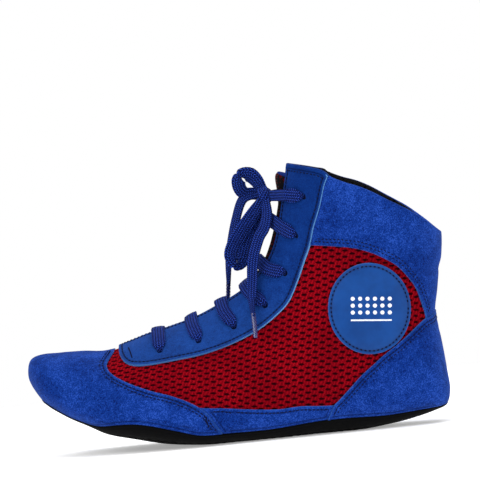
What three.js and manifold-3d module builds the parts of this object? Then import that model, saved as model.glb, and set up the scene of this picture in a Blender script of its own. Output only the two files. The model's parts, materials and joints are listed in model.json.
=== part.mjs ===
// Left boxing boot, stated in millimetres. Toe to -X, heel to +X, lateral side to -Y, +Z up.
// Every leather, fabric and rubber piece is a closed layer of one boot form, cut to its own outline.
import * as THREE from 'three';
import { mergeVertices } from 'three/addons/utils/BufferGeometryUtils.js';
import Module from 'manifold-3d';

// ---- driving dimensions ----
const SHIFT_X = -24.4;            // form stations to working frame
const SOLE_PLANE = 0.45;          // height at which the outsole is ground flat
const PLACE = [-1.25, 2.22, -0.45];   // brings the finished boot over the origin, sole on z = 0
const LAYER_OVER = [-1.3, 0.0];   // outer panels: outside surface is the form itself
const LAYER_BASE = [-2.6, -1.6];  // mesh, stiffeners and foam under the panels
const LAYER_LINE = [-4.2, -2.9];  // lining sock
const LAYER_SOLE = [-2.5, 0.6];   // rubber cup of the outsole
const INNER_BOARD = -4.5;         // plan limit of the insole board and sock liner
const GAP = 0.3;                  // clearance between neighbouring panels
const BOARD_T = 2.0;              // insole board thickness
const SOCK_T = 3.5;               // sock liner thickness
const HOLE_D = 4.2;               // punched lace hole
const LACE_D = 3.2;               // lace, drawn as a round tube
const BADGE_R = 30.4;             // round ankle badge
const TONGUE_T = 3.6;             // padded tongue thickness
const COLS = 26;                  // form resolution along the boot
const RING_DEG = [9, 27, 45, 63, 81, 98, 118, 141, 165];   // ring stations from the front line round to the back or sole

// Ruled sections of the form, front end (top line) and rear end (bottom line), X and Z.
const TOP = [[-115.62,60.57],[-114.41,65.16],[-111.59,68.27],[-105.41,69.75],[-93.32,69.7],[-79.9,69.53],[-66.48,69.37],[-53.48,72.06],[-35.54,77.54],[-18.39,81.62],[-1.14,86.83],[12.84,92.99],[22.67,97.84],[30.13,102.56],[35.93,107.43],[40.4,112.41],[44.2,117.46],[47.33,122.56],[49.8,127.71],[51.93,132.9],[53.73,138.12],[55.4,143.35],[56.87,148.59],[58.2,153.85],[59.47,159.11],[60.98,165.7],[62.75,173.6],[65.03,182.81],[67.07,190.69],[69.1,198.58]];
const BOT = [[-115.68,59.9],[-115.37,53.49],[-111.9,45.46],[-105.57,37.18],[-94.29,27.93],[-81.47,20.97],[-67.9,14.74],[-52.92,9.4],[-35.15,5.16],[-16.62,1.99],[2.67,0],[21.47,0],[40.29,0],[60.46,0],[80.62,0.07],[100.8,0.38],[121.11,2.17],[138.83,5.05],[152.57,8.55],[161.64,12.46],[164.46,21.62],[164.12,33.07],[163.01,47.27],[161.35,62.87],[159.79,75.77],[161.9,88.35],[164.52,102.9],[167.86,118.06],[168.87,133.42],[169.31,146.14]];
const W_LAT = [4,9,17.5,25.5,32.5,37.5,42,46,48.5,49.5,48.5,46,43.5,41.5,40,38.5,37.5,36.5,35.5,35,34.5,34,34,34,34.5,35.5,36.5,37.5,38.5,39];
const W_MED = [5,11,20,29,35.5,39,41.5,43,44.5,45,44,42,40.5,39.5,38.5,37.5,37,36.5,35.5,35,34.5,34,34,34,34.5,35.5,36.5,37.5,38.5,39];
// widest point along a section, and how square its upper and lower parts are
const T_MID = [.5,.52,.55,.58,.62,.65,.67,.69,.71,.73,.74,.74,.73,.71,.68,.65,.62,.59,.56,.54,.52,.5,.5,.5,.5,.5,.5,.5,.5,.5];
const E_TOP = [1,1,1,.98,.95,.95,.97,1,1.02,1.05,1.08,1.1,1.1,1.1,1.08,1.05,1.03,1,.98,.97,.96,.95,.95,.95,.95,.95,.95,.95,.95,.95];
const E_BOT = [1,.95,.88,.8,.72,.66,.62,.58,.56,.55,.55,.56,.58,.6,.62,.64,.65,.66,.66,.66,.66,.67,.68,.7,.74,.78,.82,.85,.88,.88];

// Side-view outlines, X and Z.
const TOE_CAP_EDGE = [[-57.28,70.91],[-61.02,66.54],[-63.27,62.37],[-62.08,58.23],[-59.65,55.33],[-55.27,51.59],[-46.99,46.43],[-34.7,41.06],[-21.39,36.53],[-9.84,31.16],[-2.55,26.15],[2.16,21.58],[5.91,15.34],[9.52,8.98],[11.78,4.08],[14.35,-4.88]];
const STRIP_TOP = [[-5.64,27.63],[0.9,26.39],[10.95,25.38],[23.56,23.53],[36.44,21.8],[49.51,20.73],[63.65,21.17],[75.58,20.06],[87.68,19.4]];
const HEEL_EDGE = [[71.25,-7.17],[76.07,1.81],[80.07,9.18],[83.69,15.92],[86.05,19.88],[88.87,22.25],[97.28,29.98],[105.68,37.78],[113.88,43.98],[122.15,50.18],[130.33,55.37],[138.57,61.23],[146.84,67.5],[152.13,71.07],[155.73,72.36],[159.72,74.9],[166.08,78.58]];
const COLLAR_LOW = [[73,127.97],[79.38,127.21],[91.07,125.65],[106.17,123.18],[116.29,119.88],[126.14,114.99],[135.77,108.37],[142.35,100.61],[147.77,91.94],[150.97,82.39],[152.73,75.71],[152.93,70.32]];
const EYESTAY_REAR = [[-54.14,74.99],[-54.46,69.32],[-53.17,64.84],[-50.07,61.21],[-44.3,58.83],[-33.18,58.39],[-15.91,59.97],[4.13,62.52],[23.39,67.68],[41.1,75.07],[54.8,84.28],[62.46,92.01],[69.27,104.51],[74.71,116.8],[79.38,127.14],[82.96,138.92],[88.25,152.56],[92.51,166.7],[96.26,175.04],[100.28,186.44]];
const RIM = [[40,189.9],[67.72,182.78],[71,181.95],[83.49,178.78],[93,175.8],[95.91,173],[105.42,168.39],[115.18,164.79],[124.18,160.17],[132.46,154.94],[140.75,149.85],[149.02,144.56],[158.87,136.64],[167.46,128.84],[185,113]];
const SOLE_EDGE = [[-111.89,41.77],[-107.41,39.22],[-103,35.88],[-97.97,31.95],[-88.41,26.07],[-78.72,21.67],[-70.87,19.17],[-57.58,17.53],[-46.94,16.27],[-36.35,14.47],[-25.83,11.93],[-15.36,9.5],[-4.83,8.2],[11.17,7.6],[21.92,7.4],[32.76,7.4],[43.6,7.6],[54.44,8.2],[65.28,9.07],[76.1,9.87],[86.87,10.13],[97.61,10],[118.97,9.3],[129.79,9.6],[140.63,10.27],[151.42,10.8],[157.52,11.34],[163.04,13.01],[167.88,14.6]];
const HOLES = [[-25.97,67.84],[-0.42,71.98],[23.4,79.3],[45.79,91.12],[60.1,111.03],[69.82,135.37],[76.65,160.43]];
const BADGE_C = [115.17, 81.69];
const THROAT = [[-50,1.5],[-47,4.5],[-42,6.5],[-30,7.5],[0,8.5],[22,9.5],[38,10.5],[47,11.5],[54,12.5],[60,13.5],[66,15]];
const TONGUE_W = [[-60,12],[-46,17],[-30,21],[0,23],[25,23],[40,22],[55,21],[70,21]];
const TONGUE_OUT = -5.9;          // outer face of the tongue under the eyestays
const TONGUE_CROWN = 3.5;         // how far it rises in the open throat
const TONGUE_TOP_Z = 176.0;
const TONGUE_AXIS_COL = 14.6;     // section on which the tongue bends

const wasm = await Module(); wasm.setup();
const { Manifold, Mesh } = wasm;

// ---- small numeric helpers ----
const lerp = (a, b, t) => a + (b - a) * t;
function table(rows, x) {
  if (x <= rows[0][0]) return rows[0][1];
  for (let i = 1; i < rows.length; i++) if (x <= rows[i][0]) {
    const a = rows[i - 1], b = rows[i];
    return lerp(a[1], b[1], (x - a[0]) / (b[0] - a[0]));
  }
  return rows[rows.length - 1][1];
}
function cr(arr, u, k) {
  const n = arr.length, i = Math.min(Math.floor(u), n - 2), f = u - i;
  const g = j => { const v = arr[Math.max(0, Math.min(n - 1, j))]; return k === undefined ? v : v[k]; };
  const p0 = g(i - 1), p1 = g(i), p2 = g(i + 1), p3 = g(i + 2);
  return 0.5 * (2 * p1 + (p2 - p0) * f + (2 * p0 - 5 * p1 + 4 * p2 - p3) * f * f + (3 * p1 - p0 - 3 * p2 + p3) * f * f * f);
}

// ---- the boot form ----
function form(u, a) {
  // u: section number, a: angle from the front line, negative on the lateral side
  const s = Math.abs(a), c = Math.cos(s), sn = Math.sin(s), tm = cr(T_MID, u);
  const t = c >= 0 ? tm - tm * Math.pow(c, cr(E_TOP, u)) : tm + (1 - tm) * Math.pow(-c, cr(E_BOT, u));
  const w = a < 0 ? cr(W_LAT, u) : cr(W_MED, u);
  const e = c >= 0 ? 1 : lerp(cr(E_BOT, u), 1, 0.25);
  const y = Math.sign(a) * w * Math.pow(Math.max(sn, 0), c >= 0 ? 0.96 : e);
  return [lerp(cr(TOP, u, 0), cr(BOT, u, 0), t) + SHIFT_X, y, lerp(cr(TOP, u, 1), cr(BOT, u, 1), t)];
}
function normal(u, a) {
  const du = 0.05, da = 0.03;
  const u0 = Math.max(0, u - du), u1 = Math.min(TOP.length - 1, u + du);
  const p = form(u0, a), q = form(u1, a);
  let r, s;
  if (Math.abs(a) > Math.PI - 0.02) {
    r = form(u, Math.PI - 0.06); s = form(u, -(Math.PI - 0.06));
  } else { r = form(u, a - da); s = form(u, a + da); if (a - da < -Math.PI) r = form(u, -Math.PI); }
  const U = new THREE.Vector3(q[0] - p[0], q[1] - p[1], q[2] - p[2]);
  const A = new THREE.Vector3(s[0] - r[0], s[1] - r[1], s[2] - r[2]);
  return U.cross(A).normalize();
}
function point(u, a, off) {
  const p = form(u, a), n = normal(u, a);
  return [p[0] + n.x * off, p[1] + n.y * off, p[2] + n.z * off];
}

// ---- solids ----
function solidOf(pos, tri) {
  const m = new Mesh({ numProp: 3, vertProperties: new Float32Array(pos), triVerts: new Uint32Array(tri) });
  m.merge();
  return new Manifold(m);
}
function fromGeometry(geo) {
  let g = geo.clone();
  g.deleteAttribute('normal'); g.deleteAttribute('uv');
  g = mergeVertices(g, 1e-4);
  return solidOf(Array.from(g.attributes.position.array), Array.from(g.index.array));
}
// closed loft through rings of equal length, each ring listed the same way round
function loft(rings) {
  const n = rings[0].length, pos = [], tri = [];
  for (const r of rings) for (const p of r) pos.push(p[0], p[1], p[2]);
  for (let i = 0; i + 1 < rings.length; i++) for (let j = 0; j < n; j++) {
    const a = i * n + j, b = i * n + (j + 1) % n, c = a + n, d = b + n;
    tri.push(a, c, b, b, c, d);
  }
  const cap = (r, flip) => {
    const c = [0, 0, 0]; for (const p of rings[r]) for (let k = 0; k < 3; k++) c[k] += p[k] / n;
    const ci = pos.length / 3; pos.push(c[0], c[1], c[2]);
    for (let j = 0; j < n; j++) {
      const a = r * n + j, b = r * n + (j + 1) % n;
      if (flip) tri.push(ci, b, a); else tri.push(ci, a, b);
    }
  };
  cap(0, false); cap(rings.length - 1, true);
  let s = solidOf(pos, tri);
  if (s.volume() < 0) { for (let i = 0; i < tri.length; i += 3) { const t = tri[i]; tri[i] = tri[i + 1]; tri[i + 1] = t; } s = solidOf(pos, tri); }
  return s;
}
function angles() {
  const r = RING_DEG.map(d => d * Math.PI / 180);
  return [...[...r].reverse().map(a => -a), ...r];
}
const cache = new Map();
function body(off) {
  if (cache.has(off)) return cache.get(off);
  const rings = [], N = TOP.length - 1, A = angles();
  for (let i = 0; i <= COLS; i++) {
    const u = N * i / COLS;
    rings.push(A.map(a => point(u, a, off)));
  }
  const s = loft(rings);
  cache.set(off, s);
  return s;
}
const layer = ([lo, hi]) => body(hi).subtract(body(lo));
function prism(poly, y0 = -120, y1 = 120) {
  const sh = new THREE.Shape(poly.map(p => new THREE.Vector2(p[0] + SHIFT_X, p[1])));
  const g = new THREE.ExtrudeGeometry(sh, { depth: y1 - y0, bevelEnabled: false });
  g.applyMatrix4(new THREE.Matrix4().set(1, 0, 0, 0, 0, 0, -1, y1, 0, 1, 0, 0, 0, 0, 0, 1));
  return fromGeometry(g);
}
const LAT = [-120, -GAP / 2], MED = [GAP / 2, 120];
function grow(poly, d) {
  // moves every edge of a closed outline outwards by d
  let area = 0; const n = poly.length;
  for (let i = 0; i < n; i++) { const a = poly[i], b = poly[(i + 1) % n]; area += a[0] * b[1] - b[0] * a[1]; }
  const s = area > 0 ? 1 : -1;
  return poly.map((p, i) => {
    const a = poly[(i + n - 1) % n], b = poly[(i + 1) % n];
    const n1 = new THREE.Vector2(p[1] - a[1], a[0] - p[0]).normalize(), n2 = new THREE.Vector2(b[1] - p[1], p[0] - b[0]).normalize();
    const m = n1.clone().add(n2); const k = Math.max(m.dot(n1), 0.5);
    return [p[0] + s * d * m.x / k, p[1] + s * d * m.y / k];
  });
}
// outlines closed far outside the boot
const R_TOE = [[-260, -60], [14.35, -60], ...[...TOE_CAP_EDGE].reverse(), [-53.5, 90], [-53.5, 140], [-260, 140]];
const R_STAY = [...EYESTAY_REAR, [70, 300], [-54.14, 300]];
const R_HEEL = [[71.25, -60], ...HEEL_EDGE, [260, 120], [260, -60]];
const R_COLLAR = [...COLLAR_LOW, [200, 60], [260, 60], [260, 300], [60, 300]];
const R_STRIP = [[-40, -60], [-40, 32], ...STRIP_TOP, [100, 19], [100, -60]];
const R_RIM = [[-260, -60], [260, -60], [260, 113], ...[...RIM].reverse(), [-260, 189.9]];
const R_SOLE = [[-260, -60], [260, -60], [260, 14.6], ...[...SOLE_EDGE].reverse(), [-260, 41.77]];
const R_ABOVE = [[-260, 41.77], ...SOLE_EDGE, [260, 14.6], [260, 300], [-260, 300]];
const belowRim = prism(R_RIM);
const aboveSole = prism(grow(R_ABOVE, -GAP));

// opening between the two eyestays
function throatCut(grow1 = 0) {
  const rings = [], N = TOP.length - 1;
  for (let u = 7.15; u <= N + 0.001; u += (N - 7.15) / 18) {
    const p = form(u, 0), n = normal(u, 0.0001), h = table(THROAT, cr(TOP, u, 0)) + grow1;
    const at = (o, y) => [p[0] + n.x * o, y, p[2] + n.z * o];
    rings.push([at(14, -h), at(14, h), at(-17, h), at(-17, -h)]);
  }
  return loft(rings);
}
const throat = throatCut();

const over = layer(LAYER_OVER).intersect(belowRim).intersect(aboveSole);
const base = layer(LAYER_BASE).intersect(belowRim).intersect(aboveSole);
const line = layer(LAYER_LINE).intersect(belowRim);

// lace holes, square to the form on each side
function angleOnSide(u, x, z) {
  let best = null;
  for (let k = 2; k < 150; k++) {
    const a = k * Math.PI / 300, p = form(u, a), d = Math.hypot(p[0] - x, p[2] - z);
    if (!best || d < best[0]) best = [d, a];
  }
  return best;
}
function locate(x, z) {
  let best = null;
  for (let u = 5; u < 29; u += 0.1) { const b = angleOnSide(u, x + SHIFT_X, z); if (!best || b[0] < best[0]) best = [b[0], u, b[1]]; }
  return [best[1], best[2]];
}
const HOLE_UA = HOLES.map(h => locate(h[0], h[1]));
function holePin(u, a, r) {
  const p = new THREE.Vector3(...form(u, a)), n = normal(u, a);
  const g = new THREE.CylinderGeometry(r, r, 16, 6);
  const q = new THREE.Quaternion().setFromUnitVectors(new THREE.Vector3(0, 1, 0), n);
  g.applyQuaternion(q); g.translate(p.x - n.x * 2, p.y - n.y * 2, p.z - n.z * 2);
  return fromGeometry(g);
}
let pinsL = null, pinsM = null;
for (const [u, a] of HOLE_UA) {
  const l = holePin(u, -a, HOLE_D / 2), m = holePin(u, a, HOLE_D / 2);
  pinsL = pinsL ? pinsL.add(l) : l; pinsM = pinsM ? pinsM.add(m) : m;
}

// ---- named parts ----
const COLORS = { blue: 0x2a4bb0, facing: 0x1f3c8f, red: 0xaa0a1c, black: 0x101014, badge: 0x1d52a5, lace: 0x1c26a0, foam: 0xd8cfa8, board: 0xb9a27a, grey: 0x55565c, white: 0xe8e6df };
const root = new THREE.Group();
function add(name, solid, color) {
  const m = solid.getMesh(), g = new THREE.BufferGeometry();
  const np = m.numProp, v = new Float32Array(m.vertProperties.length / np * 3);
  for (let i = 0; i < v.length / 3; i++) for (let k = 0; k < 3; k++) v[i * 3 + k] = m.vertProperties[i * np + k];
  g.setAttribute('position', new THREE.BufferAttribute(v, 3));
  g.setIndex(new THREE.BufferAttribute(new Uint32Array(m.triVerts), 1));
  g.translate(...PLACE);
  const mesh = new THREE.Mesh(g, new THREE.MeshStandardMaterial({ color: COLORS[color] }));
  mesh.name = name;
  root.add(mesh);
}
// keeps the largest piece of a cut, so slivers at an outline are dropped
function largest(s) {
  const parts = s.decompose();
  let best = null;
  for (const p of parts) if (!best || p.volume() > best.volume()) best = p;
  return best;
}
const cut = (src, poly, span) => src.intersect(prism(poly, ...(span || [-120, 120])));

// outsole
add('outsole', layer(LAYER_SOLE).intersect(prism(R_SOLE)).intersect(prism([[-260, SOLE_PLANE], [260, SOLE_PLANE], [260, 200], [-260, 200]])), 'black');

// outer panels
add('toe_cap', largest(cut(over, R_TOE)), 'blue');
add('heel_counter', largest(cut(over, R_HEEL)), 'blue');
const notStay = prism(grow(R_STAY, GAP)), notHeel = prism(grow(R_HEEL, GAP)), notToe = prism(grow(R_TOE, GAP));
for (const [side, span, pins] of [['lateral', LAT, pinsL], ['medial', MED, pinsM]]) {
  add('eyestay_' + side, largest(cut(over, R_STAY, span).subtract(throat).subtract(pins).subtract(notToe)), 'facing');
  add('collar_panel_' + side, largest(cut(over, R_COLLAR, span).subtract(notStay).subtract(notHeel)), 'blue');
  add('side_strip_' + side, largest(cut(over, R_STRIP, span).subtract(notToe).subtract(notHeel)), 'blue');
}
// mesh and stiffening layer
const IN = -6, stayIn = grow(R_STAY, IN), toeIn = grow(R_TOE, IN), heelIn = grow(R_HEEL, IN), collarIn = grow(R_COLLAR, IN);
add('toe_puff', largest(cut(base, grow(R_TOE, IN - GAP))), 'white');
add('heel_stiffener', largest(cut(base, grow(R_HEEL, IN - GAP))), 'white');
const stayInS = prism(stayIn), heelInS = prism(heelIn), toeInS = prism(toeIn), collarInS = prism(collarIn);
for (const [side, span, pins] of [['lateral', LAT, pinsL], ['medial', MED, pinsM]]) {
  const half = base.intersect(prism([[-260, -60], [260, -60], [260, 300], [-260, 300]], ...span)).subtract(throat);
  add('eyelet_reinforcement_' + side, largest(cut(half, grow(R_STAY, IN - GAP)).subtract(pins)), 'white');
  add('collar_foam_' + side, largest(cut(half, grow(R_COLLAR, IN - GAP)).subtract(stayInS).subtract(heelInS)), 'foam');
  add('mesh_quarter_' + side, largest(half.subtract(stayInS).subtract(heelInS).subtract(toeInS).subtract(collarInS)), 'red');
}
// badge discs
const disc = [];
for (let i = 0; i < 28; i++) { const a = i * Math.PI / 14; disc.push([BADGE_C[0] + 0.914 * BADGE_R * Math.cos(a), BADGE_C[1] + BADGE_R * Math.sin(a)]); }
const badgeLayer = layer([-1.3, 0.2]);
add('badge_lateral', cut(badgeLayer, disc, LAT), 'badge');
add('badge_medial', cut(badgeLayer, disc, MED), 'badge');

// lining sock: foot bag and two shaft halves
const R_FOOT = [[-260, -60], [260, -60], [260, 45], [200, 55], [20, 112], [-20, 125], [-260, 125]];
const R_SHAFT = [[260, 45], [200, 55], [20, 112], [-20, 125], [-20, 300], [260, 300]];
const lineOpen = line.subtract(prism(grow(R_STAY, -8)));
add('lining_foot', largest(cut(lineOpen, R_FOOT)), 'black');
add('lining_shaft_lateral', largest(cut(lineOpen, grow(R_SHAFT, -GAP), LAT)), 'black');
add('lining_shaft_medial', largest(cut(lineOpen, grow(R_SHAFT, -GAP), MED)), 'black');

// insole board and sock liner
const floorLine = h => BOT.slice(4, 19).map(p => [p[0], p[1] + h]);
const floorBand = (h0, h1, x0, x1) => {
  const lo = floorLine(h0), hi = floorLine(h1);
  return [...lo, ...hi.reverse()];
};
const inner = body(INNER_BOARD);
const t0 = -INNER_BOARD;
add('insole_board', largest(inner.intersect(prism(floorBand(-6, t0 + BOARD_T)))), 'board');
add('sock_liner', largest(inner.intersect(prism(floorBand(t0 + BOARD_T + GAP, t0 + BOARD_T + GAP + SOCK_T)))), 'grey');

// ---- tongue ----
function acrossAt(u, y) {
  const w = y < 0 ? cr(W_LAT, u) : cr(W_MED, u);
  return Math.sign(y) * Math.asin(Math.min(0.99, Math.pow(Math.abs(y) / w, 1 / 0.96)));
}
function tonguePiece(u0, u1, steps, topZ) {
  const rings = [], V = [-1, -0.7, -0.4, -0.14, 0.14, 0.4, 0.7, 1];
  for (let i = 0; i <= steps; i++) {
    const u = lerp(u0, u1, i / steps), x = cr(TOP, u, 0);
    let w = table(TONGUE_W, x);
    if (topZ && i === steps) w -= 4;
    const h = Math.max(table(THROAT, x), 4) * 0.5, ring = [];
    for (const v of V) ring.push([v, 0]);
    for (const v of [...V].reverse()) ring.push([v, 1]);
    rings.push(ring.map(([v, d]) => {
      const y = v * w, open = Math.min(1, Math.max(0, (x + 47) / 7));
      const bulge = (TONGUE_CROWN * open) * Math.exp(-(y * y) / (h * h));
      const th = TONGUE_T * (1 - 0.45 * Math.pow(Math.abs(v), 4));
      return point(u, acrossAt(u, y) || 1e-4, TONGUE_OUT + bulge - d * th);
    }));
  }
  return loft(rings);
}
let uTop = 20; while (uTop < 28.5 && cr(TOP, uTop, 1) < TONGUE_TOP_Z) uTop += 0.05;
const tongueLower = tonguePiece(6.7, TONGUE_AXIS_COL, 8);
const tongueUpper = tonguePiece(TONGUE_AXIS_COL + 0.12, uTop, 8, true);
{
  const u = TONGUE_AXIS_COL, t = form(u, 0), b = [cr(BOT, u, 0) + SHIFT_X, 0, cr(BOT, u, 1)];
  const d = new THREE.Vector3(b[0] - t[0], 0, b[2] - t[2]).normalize();
  let far = 0; for (const v of [0.5, 0.8, 1]) { const w = table(TONGUE_W, cr(TOP, u, 0)), p = point(u, acrossAt(u, v * w), TONGUE_OUT - TONGUE_T * 0.6); far = Math.max(far, (p[0] - t[0]) * d.x + (p[2] - t[2]) * d.z); }
  console.error('tongue axis', t[0] + d.x * (far + 1) + PLACE[0], PLACE[1], t[2] + d.z * (far + 1) + PLACE[2]);
}
add('tongue_lower', tongueLower, 'black');
add('tongue_upper', tongueUpper, 'black');

// ---- laces ----
function tube(points, d, steps, sides = 6) {
  const curve = new THREE.CatmullRomCurve3(points.map(p => new THREE.Vector3(...p)), false, 'centripetal');
  const sh = new THREE.Shape(Array.from({ length: sides }, (_, i) => { const a = 2 * Math.PI * i / sides; return new THREE.Vector2(Math.cos(a) * d / 2, Math.sin(a) * d / 2); }));
  const s = fromGeometry(new THREE.ExtrudeGeometry(sh, { steps, extrudePath: curve, bevelEnabled: false }));
  return s;
}
function edgePoint(u, side, dy, off) {
  const h = table(THROAT, cr(TOP, u, 0)), y = side * (h + dy);
  return point(u, acrossAt(u, y), off);
}
// straight bars: the lace crosses the throat between the two holes of a pair, and runs on out of sight under the facings
for (let i = 0; i < HOLES.length - 1; i++) {
  const [u, a] = HOLE_UA[i];
  const half = s => [point(u, s * a, 2.0), point(u, s * a * 0.72, 2.5), edgePoint(u, s, 0.3, 3.0)];
  add('lace_bar_' + (i + 1), tube([...half(-1), point(u, 0.0001, 3.4), ...half(1).reverse()], LACE_D, 12), 'lace');
}
const KNOT = [27.8, 0, 162.4], KNOT_R = [5.2, 6.4, 6.8];
{
  const [u7, a7] = HOLE_UA[HOLES.length - 1];
  for (const [s, side] of [[-1, 'lateral'], [1, 'medial']]) add('lace_end_' + side, tube([
    point(u7, s * a7, 2.0), point(u7, s * a7 * 0.7, 2.4), edgePoint(u7, s, 0.0, 2.8), [KNOT[0] + 5.6, s * 5.2, KNOT[2] + 0.5]], LACE_D, 7).subtract(throatGuard()), 'lace');
}
const knotG = new THREE.SphereGeometry(1, 12, 8); knotG.scale(...KNOT_R); knotG.translate(...KNOT);
const knot = fromGeometry(knotG);
function throatGuard() { const g = new THREE.SphereGeometry(1, 12, 8); g.scale(KNOT_R[0] + 0.4, KNOT_R[1] + 0.4, KNOT_R[2] + 0.4); g.translate(...KNOT); return fromGeometry(g); }
add('lace_knot', knot, 'lace');
// free tails and loops of the bow, X and Z; each keeps to its own slab of Y so they hang clear of each other
const TAIL_LAT = [[27.4, 155.4], [28.3, 149.6], [25.6, 141.1], [21.3, 134.8], [16.5, 121.8], [14.5, 107.2], [13.0, 93.9], [13.1, 86.2]];
const AGLET_LAT = [[13.15, 85.6], [13.3, 69.7]];
const TAIL_MED = [[22.5, 163.2], [13.2, 161.0], [7.4, 148.1], [2.6, 131.7], [-0.1, 120.5], [-1.5, 106.6], [-1.8, 104.9]];
const AGLET_MED = [[-1.85, 104.3], [-3.4, 90.6]];
const LOOP_MED = [[25.2, 170.6], [22.0, 176.2], [17.0, 180.2], [12.1, 178.8], [10.7, 171.2], [13.5, 165.2], [20.4, 164.6]];
const LOOP_LAT = [[23.0, 156.4], [19.1, 152.0], [11.6, 143.4], [4.0, 133.4], [0.9, 124.5], [4.7, 117.9], [10.9, 120.2], [15.2, 130.6], [21.5, 143.5], [26.2, 153.8]];
const AGLET_D = 3.4;
function sideY(x, z) {
  const [u, a] = locate(x - SHIFT_X, z), p = form(u, a);
  return Math.hypot(p[0] - x, p[2] - z) < 3 ? p[1] : 0;
}
const yOut = (x, z, least) => Math.max(least, sideY(x, z) + 10.0);
const TAIL_LAT_Y = [8.2, 11.6, 15.8, 18, 20.4, 23.4, 28, 32];   // how far each station hangs to the lateral side
const latTail = TAIL_LAT.map(([x, z], i) => [x, -Math.max(TAIL_LAT_Y[i], i < 5 ? 0 : yOut(x, z, 9.5)), z]);
const latAg = AGLET_LAT.map(([x, z], i) => [x, 0, z]);
latAg[0][1] = latTail[latTail.length - 1][1] - 0.05; latAg[1][1] = -Math.max(-latAg[0][1], yOut(13.3, 69.7, 9.5));
const medTail = TAIL_MED.map(([x, z], i) => [x, Math.max(8.2 + 1.2 * i, i < 2 ? 0 : yOut(x, z, 9.5)), z]);
const medAg = AGLET_MED.map(([x, z]) => [x, 0, z]);
medAg[0][1] = medTail[medTail.length - 1][1] + 0.05; medAg[1][1] = Math.max(medAg[0][1], yOut(-3.4, 90.6, 9.5));
const loopLat = LOOP_LAT.map(([x, z], i) => [x, -4.2 - 0.4 * Math.sin(Math.PI * i / 9), z]);
const loopMed = LOOP_MED.map(([x, z], i) => [x, 4.2 + 0.2 * Math.sin(Math.PI * i / 6), z]);
const guard = throatGuard();
add('lace_loop_lateral', largest(tube(loopLat, LACE_D, 20).subtract(guard)), 'lace');
add('lace_loop_medial', largest(tube(loopMed, LACE_D, 14).subtract(guard)), 'lace');
add('lace_tail_lateral', largest(tube(latTail, LACE_D, 16).subtract(guard)), 'lace');
add('lace_tail_medial', largest(tube(medTail, LACE_D, 14).subtract(guard)), 'lace');
add('aglet_lateral', tube(latAg, AGLET_D, 1, 10), 'white');
add('aglet_medial', tube(medAg, AGLET_D, 1, 10), 'white');

let tris = 0; const bb = new THREE.Box3();
for (const m of root.children) {
  const n = m.geometry.index.count / 3; tris += n;
  const b = new THREE.Box3().setFromObject(m); bb.union(b);
  console.error(m.name.padEnd(30), String(n).padStart(6), [b.min, b.max].map(v => [v.x, v.y, v.z].map(q => q.toFixed(1)).join(' ')).join('  |  '));
}
console.error('triangles', tris, 'nodes', root.children.length, JSON.stringify(bb));
console.error('holes', JSON.stringify(HOLE_UA));
console.error('latTail', JSON.stringify(latTail), JSON.stringify(latAg), 'medTail', JSON.stringify(medTail), JSON.stringify(medAg), 'uTop', uTop);
export default root;
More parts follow.
